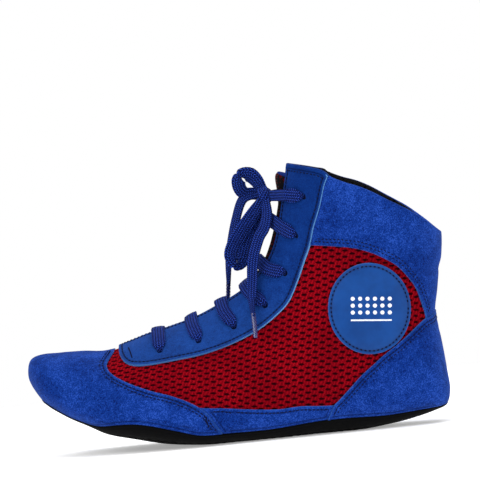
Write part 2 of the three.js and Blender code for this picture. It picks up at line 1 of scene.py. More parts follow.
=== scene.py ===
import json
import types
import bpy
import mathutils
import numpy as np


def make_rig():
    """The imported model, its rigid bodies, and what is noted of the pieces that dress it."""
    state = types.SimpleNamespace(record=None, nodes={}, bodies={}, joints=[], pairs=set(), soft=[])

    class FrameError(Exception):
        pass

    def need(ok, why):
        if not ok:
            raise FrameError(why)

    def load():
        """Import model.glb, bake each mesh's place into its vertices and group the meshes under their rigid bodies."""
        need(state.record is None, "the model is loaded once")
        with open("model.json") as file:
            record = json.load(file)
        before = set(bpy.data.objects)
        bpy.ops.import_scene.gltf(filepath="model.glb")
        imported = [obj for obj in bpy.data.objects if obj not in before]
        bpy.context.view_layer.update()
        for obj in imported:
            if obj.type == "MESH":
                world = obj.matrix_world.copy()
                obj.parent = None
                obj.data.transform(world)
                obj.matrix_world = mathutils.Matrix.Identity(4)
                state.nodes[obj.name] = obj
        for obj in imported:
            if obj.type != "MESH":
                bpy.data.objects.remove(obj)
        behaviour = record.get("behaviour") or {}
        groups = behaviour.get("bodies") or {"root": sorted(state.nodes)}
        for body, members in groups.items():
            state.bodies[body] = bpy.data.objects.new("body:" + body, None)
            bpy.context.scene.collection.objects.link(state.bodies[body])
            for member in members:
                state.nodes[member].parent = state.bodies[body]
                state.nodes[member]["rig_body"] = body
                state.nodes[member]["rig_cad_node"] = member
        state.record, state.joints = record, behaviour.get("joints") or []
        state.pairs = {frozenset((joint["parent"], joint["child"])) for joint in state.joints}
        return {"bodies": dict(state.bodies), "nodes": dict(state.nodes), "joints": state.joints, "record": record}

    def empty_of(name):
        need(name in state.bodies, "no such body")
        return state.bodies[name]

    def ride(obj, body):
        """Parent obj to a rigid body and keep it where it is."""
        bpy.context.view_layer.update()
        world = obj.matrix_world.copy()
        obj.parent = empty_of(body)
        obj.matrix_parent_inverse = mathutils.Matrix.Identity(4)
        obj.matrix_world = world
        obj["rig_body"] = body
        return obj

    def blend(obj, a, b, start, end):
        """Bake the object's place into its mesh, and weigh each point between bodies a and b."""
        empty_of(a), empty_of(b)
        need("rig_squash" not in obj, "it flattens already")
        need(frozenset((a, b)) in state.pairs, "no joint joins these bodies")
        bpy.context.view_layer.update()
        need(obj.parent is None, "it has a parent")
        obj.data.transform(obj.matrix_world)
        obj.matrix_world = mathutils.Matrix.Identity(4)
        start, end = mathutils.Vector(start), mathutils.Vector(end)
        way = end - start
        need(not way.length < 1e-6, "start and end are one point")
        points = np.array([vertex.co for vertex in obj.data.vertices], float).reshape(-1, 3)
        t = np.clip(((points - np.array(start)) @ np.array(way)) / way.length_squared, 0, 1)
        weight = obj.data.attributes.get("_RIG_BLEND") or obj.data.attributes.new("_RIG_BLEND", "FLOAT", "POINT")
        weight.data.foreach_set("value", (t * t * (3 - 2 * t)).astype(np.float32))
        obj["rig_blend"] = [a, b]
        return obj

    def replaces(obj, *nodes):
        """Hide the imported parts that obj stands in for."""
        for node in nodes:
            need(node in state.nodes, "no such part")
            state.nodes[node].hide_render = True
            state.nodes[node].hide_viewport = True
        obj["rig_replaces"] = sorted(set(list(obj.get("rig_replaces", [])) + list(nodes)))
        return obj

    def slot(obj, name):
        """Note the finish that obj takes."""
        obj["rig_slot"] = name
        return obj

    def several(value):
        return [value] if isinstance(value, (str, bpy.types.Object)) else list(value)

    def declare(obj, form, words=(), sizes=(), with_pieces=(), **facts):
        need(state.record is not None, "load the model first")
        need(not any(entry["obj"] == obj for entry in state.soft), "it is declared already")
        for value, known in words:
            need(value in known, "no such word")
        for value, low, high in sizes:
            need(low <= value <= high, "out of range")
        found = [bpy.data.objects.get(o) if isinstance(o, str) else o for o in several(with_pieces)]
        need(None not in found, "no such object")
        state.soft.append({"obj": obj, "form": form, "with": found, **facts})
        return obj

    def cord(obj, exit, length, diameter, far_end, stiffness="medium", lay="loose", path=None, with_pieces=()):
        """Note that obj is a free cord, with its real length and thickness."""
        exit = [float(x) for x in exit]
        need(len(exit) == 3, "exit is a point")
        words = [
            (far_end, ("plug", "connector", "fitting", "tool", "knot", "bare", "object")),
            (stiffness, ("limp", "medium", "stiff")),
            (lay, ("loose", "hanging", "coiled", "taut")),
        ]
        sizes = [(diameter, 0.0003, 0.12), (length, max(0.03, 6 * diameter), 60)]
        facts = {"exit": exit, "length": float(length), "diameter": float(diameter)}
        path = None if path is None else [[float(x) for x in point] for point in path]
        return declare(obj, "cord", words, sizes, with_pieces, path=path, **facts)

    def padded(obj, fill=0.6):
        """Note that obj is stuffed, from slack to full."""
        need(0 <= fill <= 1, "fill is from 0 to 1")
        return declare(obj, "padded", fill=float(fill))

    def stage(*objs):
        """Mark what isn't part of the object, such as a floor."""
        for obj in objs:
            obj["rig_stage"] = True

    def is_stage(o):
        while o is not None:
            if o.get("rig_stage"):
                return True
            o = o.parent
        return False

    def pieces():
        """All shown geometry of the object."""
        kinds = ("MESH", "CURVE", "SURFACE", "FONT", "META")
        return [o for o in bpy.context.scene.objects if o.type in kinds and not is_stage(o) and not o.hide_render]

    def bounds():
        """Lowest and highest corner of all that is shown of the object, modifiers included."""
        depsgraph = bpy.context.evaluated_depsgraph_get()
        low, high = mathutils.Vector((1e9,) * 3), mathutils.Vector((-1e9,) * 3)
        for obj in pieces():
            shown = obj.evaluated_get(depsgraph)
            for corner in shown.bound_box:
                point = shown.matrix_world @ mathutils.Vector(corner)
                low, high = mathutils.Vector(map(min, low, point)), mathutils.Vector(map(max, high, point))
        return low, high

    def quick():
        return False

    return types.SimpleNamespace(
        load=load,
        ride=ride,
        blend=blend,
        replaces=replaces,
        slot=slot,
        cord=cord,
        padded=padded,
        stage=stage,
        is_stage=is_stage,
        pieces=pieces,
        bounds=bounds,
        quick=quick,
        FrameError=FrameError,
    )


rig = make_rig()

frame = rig.load()
import bpy, math, json
import numpy as np
from mathutils import Vector, Matrix, geometry
from mathutils.kdtree import KDTree

CAD_BOX = [list(v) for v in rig.bounds()]
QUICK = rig.quick()
rng = np.random.default_rng(7)

# ------------------------------------------------------------------ the boot form (same tables as the CAD)
SHIFT_X = -24.4
PLACE = np.array([-1.25, 2.22, -0.45])
TOP = np.array([[-115.66,60.25],[-114.41,65.16],[-111.59,68.27],[-105.41,69.75],[-93.32,69.7],[-79.9,69.53],[-66.48,69.37],[-53.48,72.06],[-35.54,77.54],[-18.39,81.62],[-1.14,86.83],[12.84,92.99],[22.67,97.84],[30.13,102.56],[35.93,107.43],[40.4,112.41],[44.2,117.46],[47.33,122.56],[49.8,127.71],[51.93,132.9],[53.73,138.12],[55.4,143.35],[56.87,148.59],[58.2,153.85],[59.47,159.11],[60.98,165.7],[62.75,173.6],[65.03,182.81],[67.07,190.69],[69.1,198.58]])
BOT = np.array([[-115.66,60.25],[-115.37,53.49],[-111.9,45.46],[-105.57,37.18],[-94.29,27.93],[-81.47,20.97],[-67.9,14.74],[-52.92,9.4],[-35.15,5.16],[-16.62,1.99],[2.67,0],[21.47,0],[40.29,0],[60.46,0],[80.62,0.07],[100.8,0.38],[121.11,2.17],[138.83,5.05],[152.57,8.55],[161.64,12.46],[164.46,21.62],[164.12,33.07],[163.01,47.27],[161.35,62.87],[159.79,75.77],[161.9,88.35],[164.52,102.9],[167.86,118.06],[168.87,133.42],[169.31,146.14]])
W_LAT = np.array([0.3,9,17.5,25.5,32.5,37.5,42,46,48.5,49.5,48.5,46,43.5,41.5,40,38.5,37.5,36.5,35.5,35,34.5,34,34,34,34.5,35.5,36.5,37.5,38.5,39])
W_MED = np.array([0.3,11,20,29,35.5,39,41.5,43,44.5,45,44,42,40.5,39.5,38.5,37.5,37,36.5,35.5,35,34.5,34,34,34,34.5,35.5,36.5,37.5,38.5,39])
T_MID = np.array([.5,.52,.55,.58,.62,.65,.67,.69,.71,.73,.74,.74,.73,.71,.68,.65,.62,.59,.56,.54,.52,.5,.5,.5,.5,.5,.5,.5,.5,.5])
E_TOP = np.array([1,1,1,.98,.95,.95,.97,1,1.02,1.05,1.08,1.1,1.1,1.1,1.08,1.05,1.03,1,.98,.97,.96,.95,.95,.95,.95,.95,.95,.95,.95,.95])
E_BOT = np.array([1,.95,.88,.8,.72,.66,.62,.58,.56,.55,.55,.56,.58,.6,.62,.64,.65,.66,.66,.66,.66,.67,.68,.7,.74,.78,.82,.85,.88,.88])
NSEC = len(TOP) - 1

TOE_CAP_EDGE = [[-57.28,70.91],[-61.02,66.54],[-63.27,62.37],[-62.08,58.23],[-59.65,55.33],[-55.27,51.59],[-46.99,46.43],[-34.7,41.06],[-21.39,36.53],[-9.84,31.16],[-2.55,26.15],[2.16,21.58],[5.91,15.34],[9.52,8.98],[11.78,4.08],[14.35,-4.88]]
STRIP_TOP = [[-5.64,27.63],[0.9,26.39],[10.95,25.38],[23.56,23.53],[36.44,21.8],[49.51,20.73],[63.65,21.17],[75.58,20.06],[87.68,19.4]]
HEEL_EDGE = [[71.25,-7.17],[76.07,1.81],[80.07,9.18],[83.69,15.92],[86.05,19.88],[88.87,22.25],[97.28,29.98],[105.68,37.78],[113.88,43.98],[122.15,50.18],[130.33,55.37],[138.57,61.23],[146.84,67.5],[152.13,71.07],[155.73,72.36],[159.72,74.9],[166.08,78.58]]
COLLAR_LOW = [[73,127.97],[79.38,127.21],[91.07,125.65],[106.17,123.18],[116.29,119.88],[126.14,114.99],[135.77,108.37],[142.35,100.61],[147.77,91.94],[150.97,82.39],[152.73,75.71],[152.93,70.32]]
EYESTAY_REAR = [[-54.14,74.99],[-54.46,69.32],[-53.17,64.84],[-50.07,61.21],[-44.3,58.83],[-33.18,58.39],[-15.91,59.97],[4.13,62.52],[23.39,67.68],[41.1,75.07],[54.8,84.28],[62.46,92.01],[69.27,104.51],[74.71,116.8],[79.38,127.14],[82.96,138.92],[88.25,152.56],[92.51,166.7],[96.26,175.04],[100.28,186.44]]
RIM = [[40,189.9],[67.72,182.78],[71,181.95],[83.49,178.78],[93,175.8],[95.91,173],[105.42,168.39],[115.18,164.79],[124.18,160.17],[132.46,154.94],[140.75,149.85],[149.02,144.56],[158.87,136.64],[167.46,128.84],[185,113]]
SOLE_EDGE = [[-111.89,41.77],[-107.41,39.22],[-103,35.88],[-97.97,31.95],[-88.41,26.07],[-78.72,21.67],[-70.87,19.9],[-57.58,20.1],[-46.94,19.7],[-36.35,17.6],[-25.83,14.4],[-15.36,11.2],[-4.83,8.5],[11.17,7.6],[21.92,7.4],[32.76,7.4],[43.6,7.6],[54.44,8.2],[65.28,9.07],[76.1,9.87],[86.87,10.13],[97.61,10],[118.97,9.3],[129.79,9.6],[140.63,10.27],[151.42,10.8],[157.52,11.34],[163.04,13.01],[167.88,14.6]]
HOLES = [[-25.97,67.84],[-0.42,71.98],[23.4,79.3],[45.79,91.12],[60.1,111.03],[69.82,135.37],[76.65,160.43]]
HOLE_UA = [[8.5,0.6597344572538566],[10.0,0.6702064327658225],[11.8,0.6911503837897545],[14.3,0.6911503837897545],[17.5,0.6597344572538566],[21.9,0.7330382858376183],[25.7,0.7958701389094142]]
BADGE_C = (115.17, 81.69); BADGE_R = 30.4
THROAT = [[-50,1.5],[-47,4.5],[-42,6.5],[-30,7.5],[0,8.5],[22,9.5],[38,10.5],[47,11.5],[54,12.5],[60,13.5],[66,15]]


def cr(arr, u):
    arr = np.asarray(arr, float)
    n = len(arr)
    u = np.clip(u, 0, n - 1)
    i = np.minimum(np.floor(u).astype(int), n - 2)
    f = u - i
    g = lambda j: arr[np.clip(j, 0, n - 1)]
    p0, p1, p2, p3 = g(i - 1), g(i), g(i + 1), g(i + 2)
    if arr.ndim > 1:
        f = f[..., None]
    return 0.5 * (2 * p1 + (p2 - p0) * f + (2 * p0 - 5 * p1 + 4 * p2 - p3) * f * f + (3 * p1 - p0 - 3 * p2 + p3) * f ** 3)


def form_a(u, a):
    """Point of the form in mm, working frame: u along the boot, a round it (negative on the lateral side)."""
    u = np.asarray(u, float); a = np.asarray(a, float)
    u, a = np.broadcast_arrays(u, a)
    a = (a + math.pi) % (2 * math.pi) - math.pi
    c = np.cos(a); sn = np.abs(np.sin(a))
    tm, et, eb = cr(T_MID, u), cr(E_TOP, u), cr(E_BOT, u)
    ac = np.abs(c)
    t = np.where(c >= 0, tm - tm * ac ** et, tm + (1 - tm) * ac ** eb)
    w = np.where(a < 0, cr(W_LAT, u), cr(W_MED, u))
    e = np.where(c >= 0, 0.96, eb + (1 - eb) * 0.25)
    y = np.sign(a) * w * sn ** e
    T, B = cr(TOP, u), cr(BOT, u)
    return np.stack([T[..., 0] + (B[..., 0] - T[..., 0]) * t + SHIFT_X, y, T[..., 1] + (B[..., 1] - T[..., 1]) * t], -1)


# arc-length stations round each section, so the working domain (u, p) is close to true size
NU, NQ = 291, 161
U_GRID = np.linspace(0, NSEC, NU)
_A = {}; HALF = {}
_cand = np.unique(np.concatenate([np.linspace(0, math.pi / 2, 240), math.pi / 2 + np.linspace(0, math.pi / 2, 240)]))
for _side in (-1, 1):
    rows, halves = [], []
    for _u in U_GRID:
        eb = float(cr(E_BOT, np.array(_u)))
        v = np.arccos(-np.linspace(0, 1, 200) ** (1 / eb))
        aa = np.unique(np.concatenate([_cand, v]))
        P = form_a(np.full(len(aa), max(_u, 0.02)), np.minimum(aa, math.pi - 1e-9) * _side + 0.0)
        P[:, 1] *= 1.0
        s = np.concatenate([[0], np.cumsum(np.linalg.norm(np.diff(P, axis=0), axis=1))])
        rows.append(np.interp(np.linspace(0, s[-1], NQ), s, aa)); halves.append(s[-1])
    _A[_side] = np.array(rows); HALF[_side] = np.array(halves)


def angle_of(u, q, side):
    tab = _A[side]
    fu = np.clip(np.asarray(u, float), 0, NSEC) / NSEC * (NU - 1)
    fq = np.clip(np.asarray(q, float), 0, 1) * (NQ - 1)
    i = np.minimum(fu.astype(int), NU - 2); j = np.minimum(fq.astype(int), NQ - 2)
    a, b = fu - i, fq - j
    return (tab[i, j] * (1 - a) * (1 - b) + tab[i + 1, j] * a * (1 - b) + tab[i, j + 1] * (1 - a) * b + tab[i + 1, j + 1] * a * b)


def q_of_angle(u, a, side):
    """a >= 0"""
    out = np.empty(len(u))
    tab = _A[side]
    for k in range(len(u)):
        f = min(max(u[k], 0), NSEC) / NSEC * (NU - 1)
        i = min(int(f), NU - 2); w = f - i
        row = tab[i] * (1 - w) + tab[i + 1] * w
        out[k] = np.interp(a[k], row, np.linspace(0, 1, NQ))
    return out


def form(u, p):
    """p: 0 at the front or top line, -1..0 lateral, 0..1 medial, 1 (= -1) at the back or under the sole."""
    u = np.asarray(u, float); p = np.asarray(p, float)
    u, p = np.broadcast_arrays(u, p)
    p = (p + 1) % 2 - 1
    al = angle_of(u, -p, -1); am = angle_of(u, p, 1)
    a = np.where(p < 0, -al, am)
    P = form_a(u, a)
    # the inner side of the collar stands a little higher than the outer
    t = np.clip((u - 26.2) / 2.8, 0, 1); t = t * t * (3 - 2 * t)
    b = np.abs(p); w = np.clip((b - 0.27) / 0.08, 0, 1); w = w * w * (3 - 2 * w) * np.clip((1.0 - b) / 0.4, 0, 1)
    P = np.array(P); P[..., 2] += np.where(p < 0, -2.1, 1.7) * t * w
    # the vamp dips a little where the toe cap stops
    P[..., 2] -= 1.5 * np.exp(-((P[..., 0] + 88) / 12) ** 2) * np.clip((P[..., 2] - 32) / 25, 0, 1)
    t = np.clip((-112 - P[..., 0]) / 26, 0, 1); P[..., 0] -= 1.4 * t * t * (3 - 2 * t)
    return P


def frame_at(u, p):
    u = np.asarray(u, float); p = np.asarray(p, float)
    du, dp = 0.06, 0.006
    u0, u1 = np.maximum(u - du, 0.0), np.minimum(u + du, NSEC)
    U = form(u1, p) - form(u0, p)
    A = form(u, p + dp) - form(u, p - dp)
    n = np.cross(U, A)
    ln = np.linalg.norm(n, axis=-1, keepdims=True)
    n = np.where(ln > 1e-9, n / np.maximum(ln, 1e-9), np.array([-1.0, 0, 0]))
    k = np.clip(1 - u / 0.5, 0, 1)[..., None]
    n = n * (1 - k) + np.array([-1.0, 0, 0]) * k
    n /= np.linalg.norm(n, axis=-1, keepdims=True)
    return n


def surf(u, p, off=0.0):
    """Row-frame point in mm at a height above the form."""
    off = np.asarray(off, float)
    return form(u, p) + frame_at(u, p) * off[..., None] + PLACE


_us = np.linspace(0, NSEC, 2901)
_T, _B = cr(TOP, _us), cr(BOT, _us)


def to_dom(x, z):
    """Side-view point (form stations) to (u, q)."""
    d = _B - _T
    f = d[:, 0] * (z - _T[:, 1]) - d[:, 1] * (x - _T[:, 0])
    best = None
    for i in np.nonzero(np.diff(np.sign(f)) != 0)[0]:
        w = f[i] / (f[i] - f[i + 1]) if f[i] != f[i + 1] else 0
        u = _us[i] + w * (_us[i + 1] - _us[i])
        T = _T[i] * (1 - w) + _T[i + 1] * w; B = _B[i] * (1 - w) + _B[i + 1] * w
        D = B - T; L2 = D @ D
        if L2 < 1e-6: continue
        t = ((x - T[0]) * D[0] + (z - T[1]) * D[1]) / L2
        bad = max(-t, t - 1, 0)
        if best is None or bad < best[0] - 1e-6: best = (bad, u, min(max(t, 0), 1))
    if best is None:
        raise RuntimeError(f"no section through {x},{z}")
    u, t = best[1], best[2]
    ua = np.array(u)
    tm, et, eb = float(cr(T_MID, ua)), float(cr(E_TOP, ua)), float(cr(E_BOT, ua))
    a = math.acos(min(1, max(0, (1 - t / tm)) ** (1 / et))) if t < tm else math.acos(-min(1, ((t - tm) / (1 - tm)) ** (1 / eb)))
    return u, float(q_of_angle([u], [a], 1)[0])


def smooth(pts, step=1.0, closed=False):
    """Catmull-Rom through points, resampled about every step."""
    P = np.asarray(pts, float)
    n = len(P)
    out = []
    rngn = n if closed else n - 1
    for i in range(rngn):
        g = (lambda j: P[j % n]) if closed else (lambda j: P[min(max(j, 0), n - 1)])
        p0, p1, p2, p3 = g(i - 1), g(i), g(i + 1), g(i + 2)
        m = max(2, int(np.linalg.norm(p2 - p1) / (step * 0.25)))
        for k in range(m):
            f = k / m
            out.append(0.5 * (2 * p1 + (p2 - p0) * f + (2 * p0 - 5 * p1 + 4 * p2 - p3) * f * f + (3 * p1 - p0 - 3 * p2 + p3) * f ** 3))
    if not closed: out.append(P[-1])
    out = np.array(out)
    if closed: out = np.vstack([out, out[:1]])
    s = np.concatenate([[0], np.cumsum(np.linalg.norm(np.diff(out, axis=0), axis=1))])
    m = max(2, int(round(s[-1] / step)))
    t = np.linspace(0, s[-1], m + 1)
    r = np.stack([np.interp(t, s, out[:, k]) for k in range(out.shape[1])], 1)
    return r[:-1] if closed else r


# ------------------------------------------------------------------ camera, light, floor
TH = math.radians(5.0)
MM = 0.001
PX = 280 / 418.4            # mm per pixel of a 480 px frame
TC = TH + math.radians(0.3)
R = Vector((math.cos(TC), 0, -math.sin(TC)))
UPV = Vector((math.sin(TC), 0, math.cos(TC)))
EL = math.radians(1.7)
look = (Vector((0, 1, 0)) * math.cos(EL) - UPV * math.sin(EL)).normalized()
up = (UPV * math.cos(EL) + Vector((0, 1, 0)) * math.sin(EL)).normalized()
xr, zu = (240 - 208.0) * PX, (444.6 - 240) * PX
tgt = Vector((xr * math.cos(TH) + zu * math.sin(TH) + SHIFT_X + PLACE[0], -16.0, -xr * math.sin(TH) + zu * math.cos(TH) + PLACE[2])) * MM
tgt += UPV * (0.0002)
cam_data = bpy.data.cameras.new("camera")
cam = bpy.data.objects.new("camera", cam_data)
bpy.context.scene.collection.objects.link(cam)
DIST = 3.4
cam_data.sensor_width = 36.0
cam_data.lens = 36.0 * DIST / (480 * PX * MM)
cam_data.clip_start, cam_data.clip_end = 0.05, 30
M = Matrix.Identity(4)
M.col[0][:3] = R; M.col[1][:3] = up; M.col[2][:3] = -look
M.translation = tgt - look * DIST
cam.matrix_world = M
bpy.context.scene.camera = cam

def area_light(name, loc, size, energy, color=(1, 1, 1), aim=None):
    d = bpy.data.lights.new(name, "AREA"); d.shape = "RECTANGLE"; d.size, d.size_y = size; d.energy = energy; d.color = color
    o = bpy.data.objects.new(name, d); bpy.context.scene.collection.objects.link(o)
    o.location = loc
    o.rotation_mode = "QUATERNION"
    o.rotation_quaternion = (Vector(aim or (0, 0, 0.08)) - Vector(loc)).to_track_quat("-Z", "Y")
    return o


area_light("key", (-0.95, -1.35, 1.15), (0.9, 0.9), 11.6, (1.0, 0.985, 0.96))
area_light("fill", (1.2, -1.1, 0.45), (1.1, 0.9), 2.5, (0.95, 0.975, 1.0))
area_light("top", (0.0, 0.0, 1.35), (1.9, 1.9), 23.0, aim=(0, 0.05, 0))
area_light("back", (0.2, 1.4, 0.9), (1.4, 0.8), 4.0)
# white studio: bright all round at the level of the eye and below it, softer overhead
world = bpy.data.worlds.new("studio"); bpy.context.scene.world = world
world.use_nodes = True
wn = world.node_tree
bg = wn.nodes["Background"]
wc = wn.nodes.new("ShaderNodeTexCoord"); wx = wn.nodes.new("ShaderNodeSeparateXYZ"); wa = wn.nodes.new("ShaderNodeMath"); wa.operation = "MAXIMUM"; wa.inputs[1].default_value = 0.0
wr = wn.nodes.new("ShaderNodeMapRange"); wr.interpolation_type = "SMOOTHSTEP"
wn.links.new(wc.outputs["Generated"], wx.inputs[0]); wn.links.new(wx.outputs[2], wa.inputs[0]); wn.links.new(wa.outputs[0], wr.inputs[0])
for k_, v_ in zip((1, 2, 3, 4), (0.16, 0.34, 1.0, 0.36)): wr.inputs[k_].default_value = v_
wn.links.new(wr.outputs[0], bg.inputs[1]); bg.inputs[0].default_value = (1, 1, 1, 1)
bpy.context.scene.view_settings.view_transform = "Standard"


# ------------------------------------------------------------------ materials
def srgb(r, g, b):
    f = lambda c: (c / 255 / 12.92) if c / 255 <= 0.04045 else ((c / 255 + 0.055) / 1.055) ** 2.4
    return (f(r), f(g), f(b), 1.0)


class Mat:
    def __init__(self, name):
        self.m = bpy.data.materials.new(name); self.m.use_nodes = True
        self.nt = self.m.node_tree; self.nt.nodes.clear()
        self.out = self.nt.nodes.new("ShaderNodeOutputMaterial")
        self.b = self.nt.nodes.new("ShaderNodeBsdfPrincipled")
        self.nt.links.new(self.b.outputs[0], self.out.inputs[0])
        self.co = None

    def node(self, kind, **kw):
        n = self.nt.nodes.new(kind)
        for k, v in kw.items(): setattr(n, k, v)
        return n

    def put(self, sock, v):
        if hasattr(v, "links") or isinstance(v, bpy.types.NodeSocket): self.nt.links.new(v, sock)
        else: sock.default_value = v

    def obj(self):
        if self.co is None: self.co = self.node("ShaderNodeTexCoord").outputs["Object"]
        return self.co

    def attr(self, name, out="Fac"):
        return self.node("ShaderNodeAttribute", attribute_name=name).outputs[out]

    def noise(self, scale, detail=4, rough=0.55, vec=None, dist=0.0):
        n = self.node("ShaderNodeTexNoise")
        self.put(n.inputs["Vector"], vec or self.obj()); n.inputs["Scale"].default_value = scale
        n.inputs["Detail"].default_value = detail; n.inputs["Roughness"].default_value = rough; n.inputs["Distortion"].default_value = dist
        return n.outputs["Fac"]

    def voronoi(self, scale, vec=None, feature="F1"):
        n = self.node("ShaderNodeTexVoronoi", feature=feature)
        self.put(n.inputs["Vector"], vec or self.obj()); n.inputs["Scale"].default_value = scale
        return n.outputs["Distance"]

    def math(self, op, a, b=0.0, c=0.0, clamp=False):
        n = self.node("ShaderNodeMath", operation=op, use_clamp=clamp)
        self.put(n.inputs[0], a); self.put(n.inputs[1], b)
        if len(n.inputs) > 2: self.put(n.inputs[2], c)
        return n.outputs[0]

    def ramp(self, fac, lo, hi, to0=0.0, to1=1.0, smooth_=True):
        n = self.node("ShaderNodeMapRange", interpolation_type="SMOOTHSTEP" if smooth_ else "LINEAR")
        self.put(n.inputs[0], fac)
        for k, v in zip((1, 2, 3, 4), (lo, hi, to0, to1)): n.inputs[k].default_value = v
        return n.outputs[0]

    def mix(self, fac, a, b, mode="MIX"):
        n = self.node("ShaderNodeMix", data_type="RGBA", blend_type=mode)
        self.put(n.inputs[0], fac); self.put(n.inputs[6], a); self.put(n.inputs[7], b)
        return n.outputs[2]

    def bump(self, height, strength=0.5, dist=0.0005, prev=None):
        n = self.node("ShaderNodeBump")
        n.inputs["Strength"].default_value = strength; n.inputs["Distance"].default_value = dist
        self.put(n.inputs["Height"], height)
        if prev is not None: self.put(n.inputs["Normal"], prev)
        return n.outputs["Normal"]

    def set(self, **kw):
        names = {"color": "Base Color", "rough": "Roughness", "normal": "Normal", "metal": "Metallic", "sheen": "Sheen Weight", "sheen_rough": "Sheen Roughness", "sheen_tint": "Sheen Tint", "spec": "Specular IOR Level", "coat": "Coat Weight", "coat_rough": "Coat Roughness", "trans": "Transmission Weight", "alpha": "Alpha", "ior": "IOR", "sss": "Subsurface Weight"}
        for k, v in kw.items(): self.put(self.b.inputs[names[k]], v)
        return self


def suede(name, dark, mid, light, rim, grain=1.0, rough=0.95, sheen=0.12, wear=None):
    """napped split: cloudy brushed patches, paler in places, with a short strong grain, painted shade along the stitch
    grooves and a painted highlight on the cut edges; an optional pair of colours gives painted light on the lower part
    and painted shade on the upper part
    """
    M_ = Mat(name)
    big = M_.ramp(M_.noise(26, 4, 0.6, dist=0.5), 0.32, 0.68)
    brush = M_.ramp(M_.noise(120, 5, 0.72, dist=1.4), 0.3, 0.7)
    fine = M_.ramp(M_.noise(520, 5, 0.8, dist=0.8), 0.34, 0.66)
    speck = M_.ramp(M_.noise(1350, 3, 0.7), 0.38, 0.62)
    f = M_.math("ADD", M_.math("MULTIPLY", big, 0.22), M_.math("MULTIPLY", brush, 0.19))
    f = M_.math("ADD", f, M_.math("MULTIPLY", fine, 0.17 * grain))
    f = M_.math("ADD", f, M_.math("MULTIPLY", speck, 0.42 * grain))
    c = M_.mix(M_.ramp(f, 0.12, 0.5), dark, mid)
    c = M_.mix(M_.ramp(f, 0.5, 0.9), c, light)
    # painted light and shade by height: the lower part is mixed paler, the upper part darker
    if wear:
        zz = M_.node("ShaderNodeSeparateXYZ"); M_.put(zz.inputs[0], M_.obj())
        c = M_.mix(M_.ramp(zz.outputs[2], 0.075, 0.105, 0.16, 0.0), c, wear[0])
        c = M_.mix(M_.ramp(zz.outputs[2], 0.095, 0.14, 0.0, 0.42), c, wear[1])
    # painted shade along the stitch grooves
    c = M_.mix(M_.attr("stitch"), c, M_.mix(1.0, c, (0.10, 0.11, 0.18, 1), "MULTIPLY"))
    # painted highlight on the cut edges
    c = M_.mix(M_.attr("rim"), c, rim)
    hgt = M_.math("ADD", M_.math("MULTIPLY", M_.noise(2300, 4, 0.8), 0.5), M_.math("MULTIPLY", M_.noise(600, 5, 0.8), 0.9))
    M_.set(color=c, rough=rough, sheen=sheen, sheen_rough=0.5, sheen_tint=(0.25, 0.45, 1.0, 1), spec=0.04, normal=M_.bump(hgt, 0.6, 0.0006))
    return M_.m


MATS = {}
# the last colour of each suede is the painted highlight on its cut edges
MATS["suede"] = suede("suede", srgb(3, 19, 78), srgb(10, 47, 128), srgb(40, 80, 178), srgb(62, 116, 192))
# its last pair of colours is painted light low down and painted shade high up
MATS["facing"] = suede("facing_leather", srgb(5, 28, 84), srgb(13, 52, 124), srgb(36, 80, 162), srgb(104, 164, 224), grain=0.65, rough=0.9, sheen=0.08, wear=(srgb(44, 86, 158), srgb(1, 38, 106)))

m = Mat("badge_synthetic")
g = m.voronoi(2100, feature="SMOOTH_F1")
tone = m.ramp(m.noise(55, 4, 0.6), 0.3, 0.7)
c = m.mix(tone, srgb(2, 56, 122), srgb(5, 66, 138))
# painted highlight on the cut edge
c = m.mix(m.attr("rim"), c, srgb(58, 116, 196))
# painted shade along the stitch groove
c = m.mix(m.attr("stitch"), c, srgb(8, 34, 84))
m.set(color=c, rough=m.ramp(m.noise(500, 3), 0.2, 0.8, 0.34, 0.44), spec=0.17, sheen=0.0, normal=m.bump(m.math("ADD", m.math("MULTIPLY", g, 0.5), m.math("MULTIPLY", m.noise(900, 3), 0.25)), 0.22, 0.0003))
MATS["badge"] = m.m

m = Mat("red_mesh")
depth = m.attr("depth")
st = m.node("ShaderNodeSeparateXYZ"); m.put(st.inputs[0], m.attr("st", "Vector"))
S_, T_ = st.outputs[0], st.outputs[1]
# zigzag wales: yarns lean one way, then the other, in step with the rows of hollows
tri_ = m.math("PINGPONG", T_, 2.1)
yl = m.math("SINE", m.math("MULTIPLY", m.math("ADD", S_, m.math("MULTIPLY", tri_, 0.62)), 2 * math.pi / 0.9))
yl2 = m.math("SINE", m.math("MULTIPLY", m.math("SUBTRACT", S_, m.math("MULTIPLY", T_, 0.35)), 2 * math.pi / 2.25))
n1 = m.noise(1100, 5, 0.75, dist=0.6)
c = m.mix(m.ramp(n1, 0.3, 0.72), srgb(76, 0, 9), srgb(128, 0, 17))
# painted highlights on the crests of the yarns
c = m.mix(m.math("MULTIPLY", m.ramp(yl, 0.1, 1.0), m.ramp(n1, 0.35, 0.7, 0.25, 0.95)), c, srgb(190, 16, 30))
# painted highlights on a second, broader set of yarn crests
c = m.mix(m.math("MULTIPLY", m.ramp(yl2, 0.5, 1.0), 0.35), c, srgb(224, 22, 34))
c = m.mix(m.ramp(m.noise(30, 3), 0.35, 0.65, 0.0, 0.4), c, srgb(96, 0, 12))
# painted shade in the hollows: their bottoms are darkened nearly to black
c = m.mix(m.math("MULTIPLY", m.ramp(depth, 0.1, 0.85), m.ramp(n1, 0.2, 0.6, 0.8, 1.0)), c, srgb(34, 0, 8))
m.set(color=c, rough=0.85, sheen=0.0, spec=0.02, normal=m.bump(m.math("ADD", m.math("MULTIPLY", yl, 0.5), m.math("MULTIPLY", n1, 1.2)), 0.7, 0.0004))
MATS["mesh"] = m.m

m = Mat("lace_braid")
uv = m.attr("uvl", "Vector")
sx = m.node("ShaderNodeSeparateXYZ"); m.put(sx.inputs[0], uv)
L_, A_ = sx.outputs[0], sx.outputs[1]
